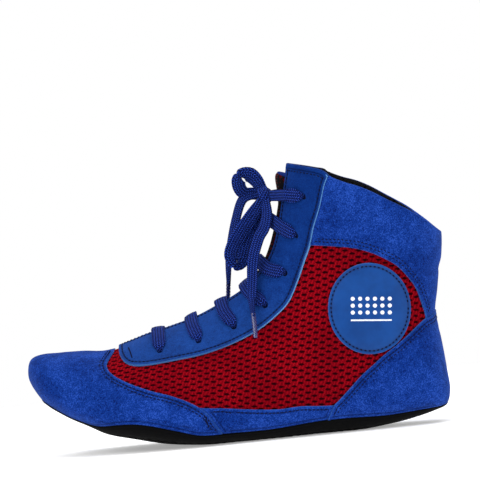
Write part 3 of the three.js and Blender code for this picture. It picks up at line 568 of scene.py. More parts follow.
# a flat braid: lengthwise plaits made of slanting strands that lean one way, then the other; millimetres along and across
plait = m.math("ABSOLUTE", m.math("SINE", m.math("MULTIPLY", A_, 1.72)))
lean = m.math("PINGPONG", m.math("ADD", A_, 100.0), 1.82)
strand = m.math("SINE", m.math("MULTIPLY", m.math("ADD", L_, m.math("MULTIPLY", lean, 0.85)), 4.3))
hgt = m.math("ADD", m.math("MULTIPLY", plait, 0.62), m.math("MULTIPLY", m.math("MULTIPLY", strand, 0.5), m.math("ADD", 0.35, plait)))
n1 = m.noise(1300, 4, 0.7)
# painted shade in the valleys of the braid, paler on its crests
c = m.mix(m.ramp(hgt, -0.15, 0.85), srgb(2, 6, 40), srgb(11, 42, 138))
# painted highlight on the tops of the strands
c = m.mix(m.math("MULTIPLY", m.ramp(hgt, 0.6, 1.0), 0.85), c, srgb(54, 94, 220))
c = m.mix(m.ramp(n1, 0.3, 0.7, 0.0, 0.35), c, srgb(5, 14, 66))
m.set(color=c, rough=0.75, sheen=0.05, sheen_tint=(0.3, 0.45, 1, 1), spec=0.06, normal=m.bump(m.math("ADD", hgt, m.math("MULTIPLY", n1, 0.5)), 1.0, 0.0008))
MATS["lace"] = m.m

m = Mat("aglet_film")
uv = m.attr("uvl", "Vector"); sx = m.node("ShaderNodeSeparateXYZ"); m.put(sx.inputs[0], uv)
tw = m.math("SINE", m.math("MULTIPLY", m.math("ADD", sx.outputs[0], m.math("MULTIPLY", sx.outputs[1], 1.3)), 3.0))
c = m.mix(m.ramp(tw, -0.4, 0.8), srgb(20, 22, 72), srgb(58, 60, 122))
m.set(color=c, rough=m.ramp(m.noise(700, 2), 0.3, 0.7, 0.14, 0.26), coat=0.8, coat_rough=0.08, spec=0.6, normal=m.bump(m.math("ADD", tw, m.noise(900, 2)), 0.2, 0.0002))
MATS["aglet"] = m.m

m = Mat("sole_rubber")
n1, n2 = m.noise(900, 5, 0.7), m.noise(45, 4, 0.6)
c = m.mix(m.ramp(n2, 0.35, 0.7), srgb(1, 1, 2), srgb(6, 6, 7))
c = m.mix(m.ramp(m.noise(240, 6, 0.75), 0.62, 0.8, 0, 0.3), c, srgb(22, 22, 25))
m.set(color=c, rough=m.ramp(n2, 0.3, 0.7, 0.68, 0.84), spec=0.06, normal=m.bump(m.math("ADD", n1, m.math("MULTIPLY", m.voronoi(1100), 0.5)), 0.35, 0.0004))
MATS["rubber"] = m.m


def knit(name, base, hi, hole, scale=1.0):
    k = Mat(name)
    mp = k.node("ShaderNodeMapping"); k.put(mp.inputs["Vector"], k.obj()); mp.inputs["Scale"].default_value = (1.0, 1.0, 1.35)
    v = k.voronoi(430 * scale, mp.outputs[0])
    pore = k.ramp(v, 0.28, 0.5, 1.0, 0.0)
    n = k.noise(1900, 4, 0.7)
    col = k.mix(k.ramp(n, 0.3, 0.75), base, hi)
    col = k.mix(pore, col, hole)
    k.set(color=col, rough=0.92, sheen=0.06, sheen_rough=0.4, spec=0.04, normal=k.bump(k.math("SUBTRACT", k.math("MULTIPLY", n, 0.4), pore), 0.8, 0.0006))
    return k.m


MATS["lining"] = knit("lining_mesh", srgb(9, 9, 11), srgb(30, 30, 34), srgb(3, 3, 4))
MATS["tongue"] = knit("tongue_mesh", srgb(6, 6, 8), srgb(22, 20, 24), srgb(62, 3, 9), 0.8)
MATS["sock"] = knit("sock_fabric", srgb(24, 24, 28), srgb(58, 58, 66), srgb(12, 12, 14), 1.6)
MATS["stiff"] = knit("nonwoven", srgb(196, 192, 180), srgb(226, 222, 212), srgb(150, 146, 134), 2.2)
MATS["tapeing"] = knit("facing_reinforcement", srgb(16, 18, 34), srgb(34, 38, 62), srgb(8, 9, 18), 2.2)
m = Mat("open_foam")
v = m.voronoi(1500)
m.set(color=m.mix(m.ramp(v, 0.1, 0.5), srgb(120, 108, 70), srgb(214, 202, 152)), rough=0.95, spec=0.1, normal=m.bump(v, 0.8, 0.0005))
MATS["foam"] = m.m
m = Mat("fibreboard")
n1 = m.noise(700, 6, 0.8, dist=1.0)
m.set(color=m.mix(m.ramp(n1, 0.3, 0.7), srgb(150, 124, 86), srgb(196, 172, 130)), rough=0.85, spec=0.2, normal=m.bump(n1, 0.4, 0.0003))
MATS["board"] = m.m
m = Mat("print_film")
n1 = m.noise(900, 4, 0.7)
m.set(color=m.mix(m.ramp(n1, 0.3, 0.75), srgb(214, 220, 232), srgb(240, 243, 248)), rough=m.ramp(m.noise(400, 3), 0.3, 0.7, 0.4, 0.6), spec=0.35, normal=m.bump(m.voronoi(2100), 0.15, 0.0002))
MATS["print"] = m.m
m = Mat("thread")
uv = m.noise(2600, 3, 0.7)
m.set(color=m.mix(uv, srgb(3, 6, 26), srgb(10, 18, 58)), rough=0.8, spec=0.1, sheen=0.0, normal=m.bump(uv, 0.5, 0.0002))
MATS["thread"] = m.m
m = Mat("binding_tape")
n1 = m.noise(1700, 3, 0.7)
m.set(color=m.mix(n1, srgb(8, 22, 74), srgb(22, 46, 118)), rough=0.85, sheen=0.04, spec=0.05, normal=m.bump(n1, 0.5, 0.0003))
MATS["tape"] = m.m
m = Mat("floor")
n1 = m.noise(9, 4, 0.6)
m.set(color=m.mix(n1, (0.955, 0.957, 0.96, 1), (0.975, 0.975, 0.977, 1)), rough=0.85, spec=0.2, normal=m.bump(m.noise(600, 3), 0.05, 0.0005))
for n_ in m.m.node_tree.nodes:
    if n_.type == "BSDF_PRINCIPLED":                                   # a light table: the sheet glows a little
        n_.inputs["Emission Color"].default_value = (1, 1, 1, 1); n_.inputs["Emission Strength"].default_value = 0.32
MATS["floor"] = m.m


# ------------------------------------------------------------------ mesh making
def make(name, verts_mm, faces, mat, attrs=None, smooth_=True, face_mat=None):
    me = bpy.data.meshes.new(name)
    V = np.asarray(verts_mm, float) * MM
    me.from_pydata([tuple(v) for v in V], [], [tuple(int(i) for i in f) for f in faces])
    me.update()
    for k, v in (attrs or {}).items():
        v = np.asarray(v, np.float32)
        if v.ndim == 1:
            a = me.attributes.new(k, "FLOAT", "POINT"); a.data.foreach_set("value", v)
        else:
            a = me.attributes.new(k, "FLOAT_VECTOR", "POINT"); a.data.foreach_set("vector", v.reshape(-1))
    if smooth_: me.polygons.foreach_set("use_smooth", [True] * len(me.polygons))
    mats = mat if isinstance(mat, (list, tuple)) else [mat]
    for q in mats: me.materials.append(MATS[q])
    if face_mat is not None: me.polygons.foreach_set("material_index", face_mat)
    ob = bpy.data.objects.new(name, me)
    bpy.context.scene.collection.objects.link(ob)
    return ob


def sharp_walls(ob, angle=42):
    """keeps cut edges crisp under smooth shading"""
    me = ob.data
    me.set_sharp_from_angle(angle=math.radians(angle))


# floor: a wide flat round disc
n_f = 72
fv = [(0, 0, -0.02 / MM * 0)] + [(r * math.cos(2 * math.pi * i / n_f), r * math.sin(2 * math.pi * i / n_f), 0.0) for r in (300, 480, 640) for i in range(n_f)]
ff = [(0, 1 + i, 1 + (i + 1) % n_f) for i in range(n_f)]
for k in range(2):
    ff += [(1 + k * n_f + i, 1 + (k + 1) * n_f + i, 1 + (k + 1) * n_f + (i + 1) % n_f, 1 + k * n_f + (i + 1) % n_f) for i in range(n_f)]
fv = [(a, b, -0.15) for a, b, _ in fv]
floor = make("studio_floor", fv, ff, "floor", smooth_=False)
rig.stage(floor)


def frames(P, guide):
    """unit tangent, across and normal for each point; guide is the wanted across direction"""
    P = np.asarray(P, float)
    T = np.gradient(P, axis=0); T /= np.linalg.norm(T, axis=1, keepdims=True)
    G = np.asarray(guide, float)
    A = G - (G * T).sum(1, keepdims=True) * T
    A /= np.maximum(np.linalg.norm(A, axis=1, keepdims=True), 1e-9)
    return T, A, np.cross(T, A)


def ribbon(name, pts, guide, width, thick, mat="lace", step=0.8, cap=True, l0=0.0, face=1.0):
    """Flat woven lace: a rounded strip with lengthwise ribs swept along pts; guide gives the across direction, width and thick may vary by station."""
    pts = np.asarray(pts, float); n0 = len(pts)
    guide = np.asarray(guide, float); width = np.broadcast_to(np.asarray(width, float), (n0,)); thick = np.broadcast_to(np.asarray(thick, float), (n0,))
    allv = np.hstack([pts, guide * 10, width[:, None], thick[:, None]])
    # resample by arc length of the positions
    dense = []
    for i in range(n0 - 1):
        p0, p1, p2, p3 = allv[max(i - 1, 0)], allv[i], allv[i + 1], allv[min(i + 2, n0 - 1)]
        for k in range(24):
            f = k / 24
            dense.append(0.5 * (2 * p1 + (p2 - p0) * f + (2 * p0 - 5 * p1 + 4 * p2 - p3) * f * f + (3 * p1 - p0 - 3 * p2 + p3) * f ** 3))
    dense.append(allv[-1]); dense = np.array(dense)
    s = np.concatenate([[0], np.cumsum(np.linalg.norm(np.diff(dense[:, :3], axis=0), axis=1))])
    m_ = max(6, int(s[-1] / step))
    t = np.linspace(0, s[-1], m_ + 1)
    D = np.stack([np.interp(t, s, dense[:, k]) for k in range(8)], 1)
    P, G, Wd, Th = D[:, :3], D[:, 3:6], D[:, 6], D[:, 7]
    for _ in range(2): G[1:-1] = (G[:-2] + 2 * G[1:-1] + G[2:]) / 4
    T, A, N_ = frames(P, G)
    K = 28
    verts, uv = [], []
    for i in range(m_ + 1):
        for k in range(K):
            th = 2 * math.pi * k / K
            c_, s_ = math.cos(th), math.sin(th)
            x = math.copysign(abs(c_) ** 0.55, c_); zz = math.copysign(abs(s_) ** 0.75, s_)
            w = Wd[i]
            ribs = 1 + 0.16 * math.cos(x * 2 * math.pi * 2.0)
            edge = 1 + 0.02 * math.sin(t[i] * 4.2 + (2 if c_ > 0 else 0)) * abs(c_)
            verts.append(P[i] + A[i] * x * w / 2 * edge + N_[i] * zz * Th[i] / 2 * ribs)
            uv.append((t[i] + l0, x * w / 2 if w > 5 else x * 4, (1.0 if s_ > 0 else -1.0) * face))
    faces = [(i * K + k, i * K + (k + 1) % K, (i + 1) * K + (k + 1) % K, (i + 1) * K + k) for i in range(m_) for k in range(K)]
    if cap:
        for i, sg in ((0, 1), (m_, -1)):
            c0 = len(verts); verts.append(P[i] - T[i] * sg * 0.25); uv.append((t[i] + l0, 0, 0))
            for k in range(K):
                a, b = i * K + k, i * K + (k + 1) % K
                faces.append((c0, b, a) if sg > 0 else (c0, a, b))
    ob = make(name, verts, faces, mat, {"uvl": np.array(uv)})
    return ob, P, float(s[-1])


def px(x_, y_, y=0.0):
    """A point seen at a frame pixel, at a given lateral depth: row-frame mm."""
    a = (x_ - 208.0) * PX; b = (444.6 - y_) * PX
    return np.array([a * math.cos(TH) + b * math.sin(TH) + SHIFT_X + PLACE[0], y + PLACE[1], -a * math.sin(TH) + b * math.cos(TH) + PLACE[2]])


YV = np.array([0.0, 1, 0])


def across2d(P2):
    """across direction in the side view, square to the path"""
    P2 = np.asarray(P2, float); d = np.gradient(P2, axis=0)
    out = np.stack([d[:, 2], np.zeros(len(d)), -d[:, 0]], 1)
    return out / np.linalg.norm(out, axis=1, keepdims=True)


# ------------------------------------------------------------------ laces
def wp(pts, flip=1):
    """working-frame points of the CAD to the row frame"""
    return np.array([[x, y * flip, z] for x, y, z in pts], float) + PLACE


def mm2m(v): return tuple(float(c) * MM for c in v)


def poly_len(P): return float(np.linalg.norm(np.diff(P, axis=0), axis=1).sum()) * MM


THROAT_W = 11.0
bars = []


def lean_u(u0, qq, L, ds, offs, ang, lim=0.8):
    """row stations that make the near end of a lace run at an angle above level"""
    if ang is None: return np.full(len(ds), u0)
    def hv(P): return (P[..., 0] * math.cos(TH) - P[..., 2] * math.sin(TH), P[..., 0] * math.sin(TH) + P[..., 2] * math.cos(TH))
    h0, v0 = hv(surf(u0, -qq, 1.8))
    out = []
    for d, o in zip(ds, offs):
        cand = u0 + np.linspace(-lim, 0.15, 60)
        h, v = hv(surf(cand, np.full(60, -qq * (1 - min(d, 14.0) / L)), np.full(60, max(o, 1.5))))
        e = np.abs((v - v0) - math.tan(math.radians(ang)) * (h0 - h))
        k = int(np.argmin(e))
        out.append(cand[k] if d > 0.3 else u0)
    out = np.array(out)
    w = np.clip(np.array(ds) / 3.0, 0, 1)
    out = u0 + (out - u0) * w
    for _ in range(3): out[1:-1] = (out[:-2] + 2 * out[1:-1] + out[2:]) / 4
    return out


def bar_path(u, a, hump=3.4, ang=None, lim=0.8):
    """stations from the lateral hole to the medial hole of one straight lace bar"""
    q = q_of_angle([u, u], [a, a], -1)[0]; qm = q_of_angle([u], [a], 1)[0]
    half = float(np.interp(u, U_GRID, HALF[-1]))
    L1 = q * half; L2 = qm * half
    P, G, Wd, Th = [], [], [], []
    for side, L, qq in ((-1, L1, q), (1, L2, qm)):
        seg = []
        for d, off, w, t in ((-0.9, -2.4, 2.8, 1.7), (0.0, -0.3, 4.2, 1.9), (1.0, 0.8, 6.2, 1.8), (2.6, 1.3, 8.1, 1.7), (5.2, 1.35, 9.1, 1.65), (8.5, 1.4, 9.2, 1.6)):
            if d < L - 8: seg.append((d, off, w, t))
        k = len(seg)
        d = 11.5
        while d < L - 6.5:
            seg.append((d, 1.4 + 0.5 * max(0, (d - (L - 14)) / 8), 9.0, 1.6)); d += 4.0
        seg.append((L - 4.2, 0.62 * hump + 0.45, 8.8, 1.6))
        us = lean_u(u, q, L1, [s_[0] for s_ in seg], [s_[1] for s_ in seg], ang, lim)
        rows = [(side * qq * (1 - dd / L), off, w, t, uu) for (dd, off, w, t), uu in zip(seg, us)]
        if side < 0: lat = rows
        else: med = rows[::-1]
    rows = lat + [(0.0, hump, 8.6, 1.6, (lat[-1][4] + med[0][4]) / 2)] + med
    p = np.array([r[0] for r in rows]); off = np.array([r[1] for r in rows]); ur = np.array([r[4] for r in rows])
    P = surf(ur, p, off)
    A = form(ur + 0.3, p) - form(ur - 0.3, p)
    A /= np.linalg.norm(A, axis=1, keepdims=True)
    return P, A, [r[2] for r in rows], [r[3] for r in rows]


for i in range(6):
    u, a = HOLE_UA[i]
    P, A, W_, T_ = bar_path(u, a, (0.35, 0.35, 0.6, 0.9, 1.2, 1.5)[i], (None, 62, 50, 33, 3, 27)[i], (0.8, 0.8, 0.8, 0.8, 1.15, 0.8)[i])
    tilt = np.sin(np.linspace(0, math.pi, len(P)))[:, None]
    N_ = np.cross(np.gradient(P, axis=0), A); N_ /= np.linalg.norm(N_, axis=1, keepdims=True)
    A = A + N_ * tilt * (0.16, -0.1, 0.12, 0.1, -0.08, 0.1)[i]
    ob, _, _ = ribbon(f"lace_bar_{i + 1}_flat", P, A, W_, T_, l0=11.0 * i)
    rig.ride(ob, "boot"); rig.replaces(ob, f"lace_bar_{i + 1}"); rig.slot(ob, "lace_braid"); bars.append(ob)

KN = np.array([27.8, 0, 162.4]) + PLACE
for side, nm in ((-1, "lateral"), (1, "medial")):
    u, a = HOLE_UA[6]
    qq = q_of_angle([u], [a], side)[0]
    half = float(np.interp(u, U_GRID, HALF[side])); L = qq * half
    rows = [(side * qq * (1 - d / L), o, w, t) for d, o, w, t in ((-0.9, -2.4, 2.8, 1.7), (0.0, -0.3, 4.2, 1.9), (1.0, 0.85, 6.2, 1.8), (2.8, 1.4, 8.2, 1.7), (6.0, 1.5, 9.4, 1.7), (9.5, 1.8, 9.2, 1.7), (13.5, 2.4, 8.0, 1.8))]
    ur = lean_u(u, q_of_angle([u], [a], -1)[0], q_of_angle([u], [a], -1)[0] * float(np.interp(u, U_GRID, HALF[-1])), [-0.9, 0.0, 1.0, 2.8, 6.0, 9.5, 13.5], [r[1] for r in rows], 2, lim=1.3)
    P = surf(ur, np.array([r[0] for r in rows]), np.array([r[1] for r in rows]))
    A = form(ur + 0.3, np.array([r[0] for r in rows])) - form(ur - 0.3, np.array([r[0] for r in rows]))
    A /= np.linalg.norm(A, axis=1, keepdims=True)
    end = KN + np.array([4.2, side * 5.0, -0.4]); end2 = KN + np.array([1.2, side * 1.6, 0.2])
    P = np.vstack([P, end, end2]); A = np.vstack([A, A[-1], A[-1]])
    ob, _, _ = ribbon(f"lace_end_{nm}_flat", P, A, [r[2] for r in rows] + [7.2, 6.4], [r[3] for r in rows] + [2.1, 2.4], l0=70)
    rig.ride(ob, "boot"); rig.replaces(ob, f"lace_end_{nm}"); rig.slot(ob, "lace_braid")

# the knot: a band wrapped round the crossing, over a second turn, on a full core
def ring_path(c, ax1, ax2, n=40):
    t = np.linspace(0, 2 * math.pi, n + 1)[:-1]
    return np.array([c + ax1 * math.cos(q) + ax2 * math.sin(q) for q in t])


def closed_ribbon(c, ax1, ax2, guide, width, thick, pinch=0.0, n=64, K=24):
    t = np.linspace(0, 2 * math.pi, n + 1)[:-1]
    P = np.array([c + ax1 * math.cos(q) * (1 + pinch * math.cos(2 * q)) + ax2 * math.sin(q) for q in t])
    T = np.roll(P, -1, 0) - np.roll(P, 1, 0); T /= np.linalg.norm(T, axis=1, keepdims=True)
    G = np.array([guide + ax1 / np.linalg.norm(ax1) * 0.18 * math.sin(q) for q in t])
    A = G - (G * T).sum(1, keepdims=True) * T; A /= np.linalg.norm(A, axis=1, keepdims=True)
    N_ = np.cross(T, A)
    V, F, UV = [], [], []
    r = (np.linalg.norm(ax1) + np.linalg.norm(ax2)) / 2
    for i in range(n):
        w = width * (1 + 0.1 * math.cos(2 * t[i] + 0.6))
        for k in range(K):
            th = 2 * math.pi * k / K; c_, s_ = math.cos(th), math.sin(th)
            x = math.copysign(abs(c_) ** 0.6, c_); zz = math.copysign(abs(s_) ** 0.8, s_)
            V.append(P[i] + A[i] * x * w / 2 + N_[i] * zz * thick / 2 * (1 + 0.16 * math.cos(x * 4 * math.pi)))
            UV.append((t[i] * r, x * w / 2, -1.0))
            F.append((i * K + k, i * K + (k + 1) % K, ((i + 1) % n) * K + (k + 1) % K, ((i + 1) % n) * K + k))
    return V, F, UV


fd = np.array([math.cos(math.radians(12)), 0, math.sin(math.radians(12))]); ud = np.array([-fd[2], 0, fd[0]])
V, F, UV = closed_ribbon(KN, YV * 4.5, ud * 5.0, fd + ud * 0.12, 7.6, 2.0, 0.04)
V2, F2, UV2 = closed_ribbon(KN + ud * -0.3, YV * 5.7, ud * 3.6 + fd * 3.5, fd * 0.75 - ud * 0.7, 5.6, 1.9, 0.03)
F += [tuple(i + len(V) for i in f) for f in F2]; V += V2; UV += UV2
nn, mm_ = 26, 18
base = len(V)
for i in range(mm_ + 1):
    for k in range(nn):
        th, ph = math.pi * i / mm_, 2 * math.pi * k / nn
        b = 1 + 0.08 * math.sin(3 * ph + 2 * th) * math.sin(th)
        V.append(KN + (fd * 3.4 * math.sin(th) * math.cos(ph) + YV * 4.3 * math.sin(th) * math.sin(ph) + ud * 4.6 * math.cos(th)) * b)
        UV.append((i * 1.2, k * 0.6, 0))
F += [(base + i * nn + k, base + (i + 1) * nn + k, base + (i + 1) * nn + (k + 1) % nn, base + i * nn + (k + 1) % nn) for i in range(mm_) for k in range(nn)]
knot = make("lace_knot_wrapped", V, F, "lace", {"uvl": np.array(UV)})
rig.ride(knot, "boot"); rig.replaces(knot, "lace_knot"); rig.slot(knot, "lace_braid")

# bow loops
LOOP_LAT = [[25.6,-3.2,159.6],[23.4,-5.6,156.2],[19.6,-6.9,151.4],[12.4,-7.4,142.6],[5.0,-7.2,132.4],[2.0,-6.3,124.6],[4.9,-4.9,118.6],[9.6,-3.9,121.0],[13.2,-3.4,130.6],[19.2,-3.2,143.5],[24.2,-3.0,153.2],[26.6,-2.6,158.0]]
LOOP_MED = [[28.8,3.0,161.6],[26.4,3.6,167.2],[23.4,4.0,173.0],[19.6,4.6,177.0],[14.4,5.4,177.4],[11.5,6.8,173.8],[12.0,8.4,168.4],[15.2,9.4,164.8],[21.0,8.4,164.2],[27.2,4.8,162.4]]


def bow_loop(name, pts, base_dir, tilt, node, body, widths, exit_):
    P = wp(pts)
    d = np.array(base_dir, float); d /= np.linalg.norm(d)
    Pp = np.array([d[2], 0, -d[0]])
    G = np.tile(Pp + YV * tilt, (len(P), 1))
    ob, cl, L = ribbon(name, P, G, widths, 1.9, step=0.6, face=1.0 if body == "loop_lateral" else -1.0)
    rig.ride(ob, body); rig.replaces(ob, node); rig.slot(ob, "lace_braid")
    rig.cord(ob, exit=mm2m(P[0]), length=round(L * MM, 4), diameter=0.008, far_end="object", stiffness="limp", lay="hanging", path=[mm2m(q) for q in cl[::2]] + [mm2m(cl[-1])])
    return ob


loop_lat = bow_loop("lace_loop_lateral_flat", LOOP_LAT, (-0.64, 0, -0.76), -0.34, "lace_loop_lateral", "loop_lateral", [6.0, 8.0, 9.6, 10.2, 10.2, 9.8, 9.4, 9.6, 9.6, 9.0, 7.4, 6.0], None)
loop_med = bow_loop("lace_loop_medial_flat", LOOP_MED, (-0.7, 0, 0.7), -0.42, "lace_loop_medial", "loop_medial", [6.2, 8.2, 10.2, 11.0, 10.6, 9.8, 9.4, 9.4, 8.4, 6.2], None)

TAIL_LAT = [[28.2,-3.6,161.2],[28.3,-6.2,157.6],[28.3,-10.4,149.6],[25.6,-14.8,141.1],[21.3,-18,134.8],[16.5,-20.4,121.8],[14.5,-23.4,107.2],[13,-30.4,93.9],[13.1,-35.13,86.2]]
AG_LAT = [[13.15,-35.18,85.9],[13.24,-38.7,77.9],[13.3,-42.38,69.7]]
TAIL_MED = [[25.4,4.6,164.6],[22.5,7.4,164.2],[13.2,9.4,161],[7.4,10.6,148.1],[2.6,11.8,131.7],[-0.1,13,120.5],[-1.5,14.2,106.6],[-1.8,15.4,104.9]]
AG_MED = [[-1.85,15.45,104.6],[-2.6,20.6,97.8],[-3.4,26.07,90.6]]


def aglet(name, pts, node, body):
    P = smooth(wp(pts), 0.8)
    T, A, N_ = frames(P, np.tile(YV * 0.4 + np.array([1.0, 0, 0]), (len(P), 1)))
    K = 24; V, F, UV = [], [], []
    L = np.concatenate([[0], np.cumsum(np.linalg.norm(np.diff(P, axis=0), axis=1))])
    for i in range(len(P)):
        f = L[i] / L[-1]
        r = 1.0 + 0.07 * math.sin(L[i] * 2.2)
        endr = 1 - 0.22 * max(0, (f - 0.93) / 0.07) ** 2 - 0.12 * max(0, (0.05 - f) / 0.05) ** 2
        for k in range(K):
            th = 2 * math.pi * k / K
            lap = 0.14 if 0.2 < (th + f * 1.3) % (2 * math.pi) < 1.4 else 0.0        # the wrap's overlapped film
            V.append(P[i] + (A[i] * math.cos(th) * (1.55 + lap) + N_[i] * math.sin(th) * (1.3 + lap)) * r * endr)
            UV.append((L[i], th * 1.4, 0))
    F = [(i * K + k, i * K + (k + 1) % K, (i + 1) * K + (k + 1) % K, (i + 1) * K + k) for i in range(len(P) - 1) for k in range(K)]
    for i, sg in ((0, 1), (len(P) - 1, -1)):
        c0 = len(V); V.append(P[i]); UV.append((L[i], 0, 0))
        F += [(c0, i * K + (k + 1) % K, i * K + k) if sg > 0 else (c0, i * K + k, i * K + (k + 1) % K) for k in range(K)]
    ob = make(name, V, F, "aglet", {"uvl": np.array(UV)})
    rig.ride(ob, body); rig.replaces(ob, node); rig.slot(ob, "aglet_plastic")
    return ob


def tail(name, pts, guides, widths, thicks, node, body, ag, agn):
    # the braid runs on inside its aglet, to just short of the tip
    tip = np.array(ag[-1], float) * 0.97 + np.array(ag[-2], float) * 0.03
    P = wp(list(pts) + [ag[1], list(tip)])
    guides = np.vstack([np.array(guides, float), guides[-1], guides[-1]])
    ob, cl, L = ribbon(name, P, guides, list(widths) + [2.2, 2.0], list(thicks) + [1.7, 1.6], step=0.7, l0=5)
    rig.ride(ob, body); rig.replaces(ob, node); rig.slot(ob, "lace_braid")
    a = aglet(name.replace("_flat", "_aglet"), ag, agn, body)
    path = [mm2m(q) for q in cl[::2]] + [mm2m(cl[-1])]
    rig.cord(ob, exit=mm2m(P[0]), length=round(poly_len(np.array(path) * 1000), 4), diameter=0.008, far_end="bare", stiffness="limp", lay="hanging", path=path, with_pieces=[a])
    return ob


g1 = across2d(wp(TAIL_LAT))
gl = [g1[i] * c_ + YV * s_ for i, (c_, s_) in enumerate([(0.8, .6), (0.8, .6), (.85, .5), (.95, .3), (1, .15), (1, .1), (1, .25), (.9, .4), (.9, .4)])]
tail_lat = tail("lace_tail_lateral_flat", TAIL_LAT, gl, [6.4, 7.2, 8.0, 8.0, 7.8, 7.6, 7.0, 4.8, 2.9], [2.0, 1.9, 1.8, 1.8, 1.8, 1.9, 2.0, 2.1, 2.2], "lace_tail_lateral", "tail_lateral", AG_LAT, "aglet_lateral")
g1 = across2d(wp(TAIL_MED))
gm = [g1[i] * c_ + YV * s_ for i, (c_, s_) in enumerate([(0.8, .6), (.8, .6), (.75, .65), (.7, .7), (.7, .7), (.6, .8), (.6, .8), (.6, .8)])]
tail_med = tail("lace_tail_medial_flat", TAIL_MED, gm, [6.4, 7.6, 8.0, 8.0, 7.6, 6.4, 3.6, 2.8], [2.0, 1.9, 1.8, 1.8, 1.9, 2.0, 2.1, 2.2], "lace_tail_medial", "tail_medial", AG_MED, "aglet_medial")


# ------------------------------------------------------------------ cut panels laid on the form
def lump(P):
    """slow unevenness of a hand-lasted upper, the same for every layer so that they stay apart"""
    x, y, z = P[:, 0], P[:, 1], P[:, 2]
    w = 0.22 * np.sin(x / 11 + y / 17 + 1.3) * np.sin(z / 13 - y / 19) + 0.16 * np.sin(x / 6.5 - z / 9 + 0.4) * np.sin(y / 8 + z / 15)
    toe = np.clip((-70 - x) / 40, 0, 1)
    return w * (1 + 1.0 * toe)


def skin(u, p, off):
    P = form(u, p); n = frame_at(u, p)
    P = P + n * (np.asarray(off, float) + lump(P))[:, None] + PLACE
    return P


class Flat:
    @staticmethod
    def up(D): return D[:, 0] / 9.6, D[:, 1] / 150
    @staticmethod
    def flat(u, p): return np.stack([np.asarray(u) * 9.6, np.asarray(p) * 150], 1)


class Polar:
    @staticmethod
    def up(D):
        r = np.hypot(D[:, 0], D[:, 1])
        return 3 * (r / 24) ** (1 / 0.75), np.arctan2(D[:, 1], D[:, 0]) / math.pi
    @staticmethod
    def flat(u, p):
        r = 24 * (np.asarray(u) / 3) ** 0.75
        return np.stack([r * np.cos(np.asarray(p) * math.pi), r * np.sin(np.asarray(p) * math.pi)], 1)


def dom_line(pts, side, step=1.1):
    """a side-view outline as (u, p) stations; it stops where it leaves the form"""
    S = smooth(pts, step)
    out = []
    for x, z in S:
        try: u, q = to_dom(x, z)
        except RuntimeError: continue
        if side < 0 and 0 < q < 1:
            q = _q_other(u, q)
        out.append((u, side * q))
    return np.array(out)


def _q_other(u, q):
    a = angle_of(np.array([u]), np.array([q]), 1)
    return float(q_of_angle([u], a, -1)[0])


def trim(line, a=None, b=None):
    """portion of a (u, p) line between the places nearest to two side-view points (given as (u, p) too)"""
    L = np.asarray(line); k = np.array([9.6, 150.0])
    ia = 0 if a is None else int(np.argmin(np.linalg.norm((L - a) * k, axis=1)))
    ib = len(L) - 1 if b is None else int(np.argmin(np.linalg.norm((L - b) * k, axis=1)))
    seg = L[ia:ib + 1] if ia <= ib else L[ib:ia + 1][::-1]
    seg = seg.copy()
    if a is not None: seg[0] = a
    if b is not None: seg[-1] = b
    return seg


def pt(x, z, side):
    u, q = to_dom(x, z)
    if side < 0 and 0 < q < 1: q = _q_other(u, q)
    return np.array([u, side * q])


def inside(D, rings):
    D = np.asarray(D); res = np.zeros(len(D), bool)
    for R_ in rings:
        x0, y0 = R_[:, 0], R_[:, 1]; x1, y1 = np.roll(x0, -1), np.roll(y0, -1)
        for s in range(0, len(D), 4000):
            px_, py_ = D[s:s + 4000, 0][:, None], D[s:s + 4000, 1][:, None]
            c = (y0 > py_) != (y1 > py_)
            with np.errstate(divide="ignore", invalid="ignore"):
                xi = (x1 - x0) * (py_ - y0) / (y1 - y0) + x0
            res[s:s + 4000] ^= ((c & (px_ < xi)).sum(1) % 2).astype(bool)
    return res


def even(ring, dom, step):
    """ring of flat points resampled evenly along its true length"""
    R_ = np.vstack([ring, ring[:1]])
    u, p = dom.up(R_)
    P = form(u, p); s = np.concatenate([[0], np.cumsum(np.linalg.norm(np.diff(P, axis=0), axis=1))])
    keep = np.concatenate([[True], np.diff(s) > 1e-6]); R_, s = R_[keep], s[keep]
    n = max(8, int(s[-1] / step)); t = np.linspace(0, s[-1], n + 1)[:-1]
    return np.stack([np.interp(t, s, R_[:, k]) for k in range(2)], 1)


def metric(D, dom):
    h = 0.05
    f = lambda E: form(*dom.up(E))
    J1 = (f(D + [h, 0]) - f(D - [h, 0])) / (2 * h); J2 = (f(D + [0, h]) - f(D - [0, h])) / (2 * h)
    return (J1 * J1).sum(1), (J1 * J2).sum(1), (J2 * J2).sum(1)


def inward(ring, dom):
    """unit (true length) normals to the left of a ring of flat points"""
    t = np.roll(ring, -1, 0) - np.roll(ring, 1, 0)
    g11, g12, g22 = metric(ring, dom)
    a = g11 * t[:, 0] + g12 * t[:, 1]; b = g12 * t[:, 0] + g22 * t[:, 1]
    n = np.stack([-b, a], 1)
    ln = np.sqrt(np.maximum(g11 * n[:, 0] ** 2 + 2 * g12 * n[:, 0] * n[:, 1] + g22 * n[:, 1] ** 2, 1e-12))
    return n / ln[:, None]


def area2(R_):
    return float(np.sum(R_[:, 0] * np.roll(R_[:, 1], -1) - np.roll(R_[:, 0], -1) * R_[:, 1]))


def tree3(P):
    t = KDTree(len(P))
    for i, v in enumerate(P): t.insert(v, i)
    t.balance(); return t


ROWS = (0.22, 0.5, 0.95, 1.5, 2.0, 2.45, 2.9, 3.5)
PANELS = {}


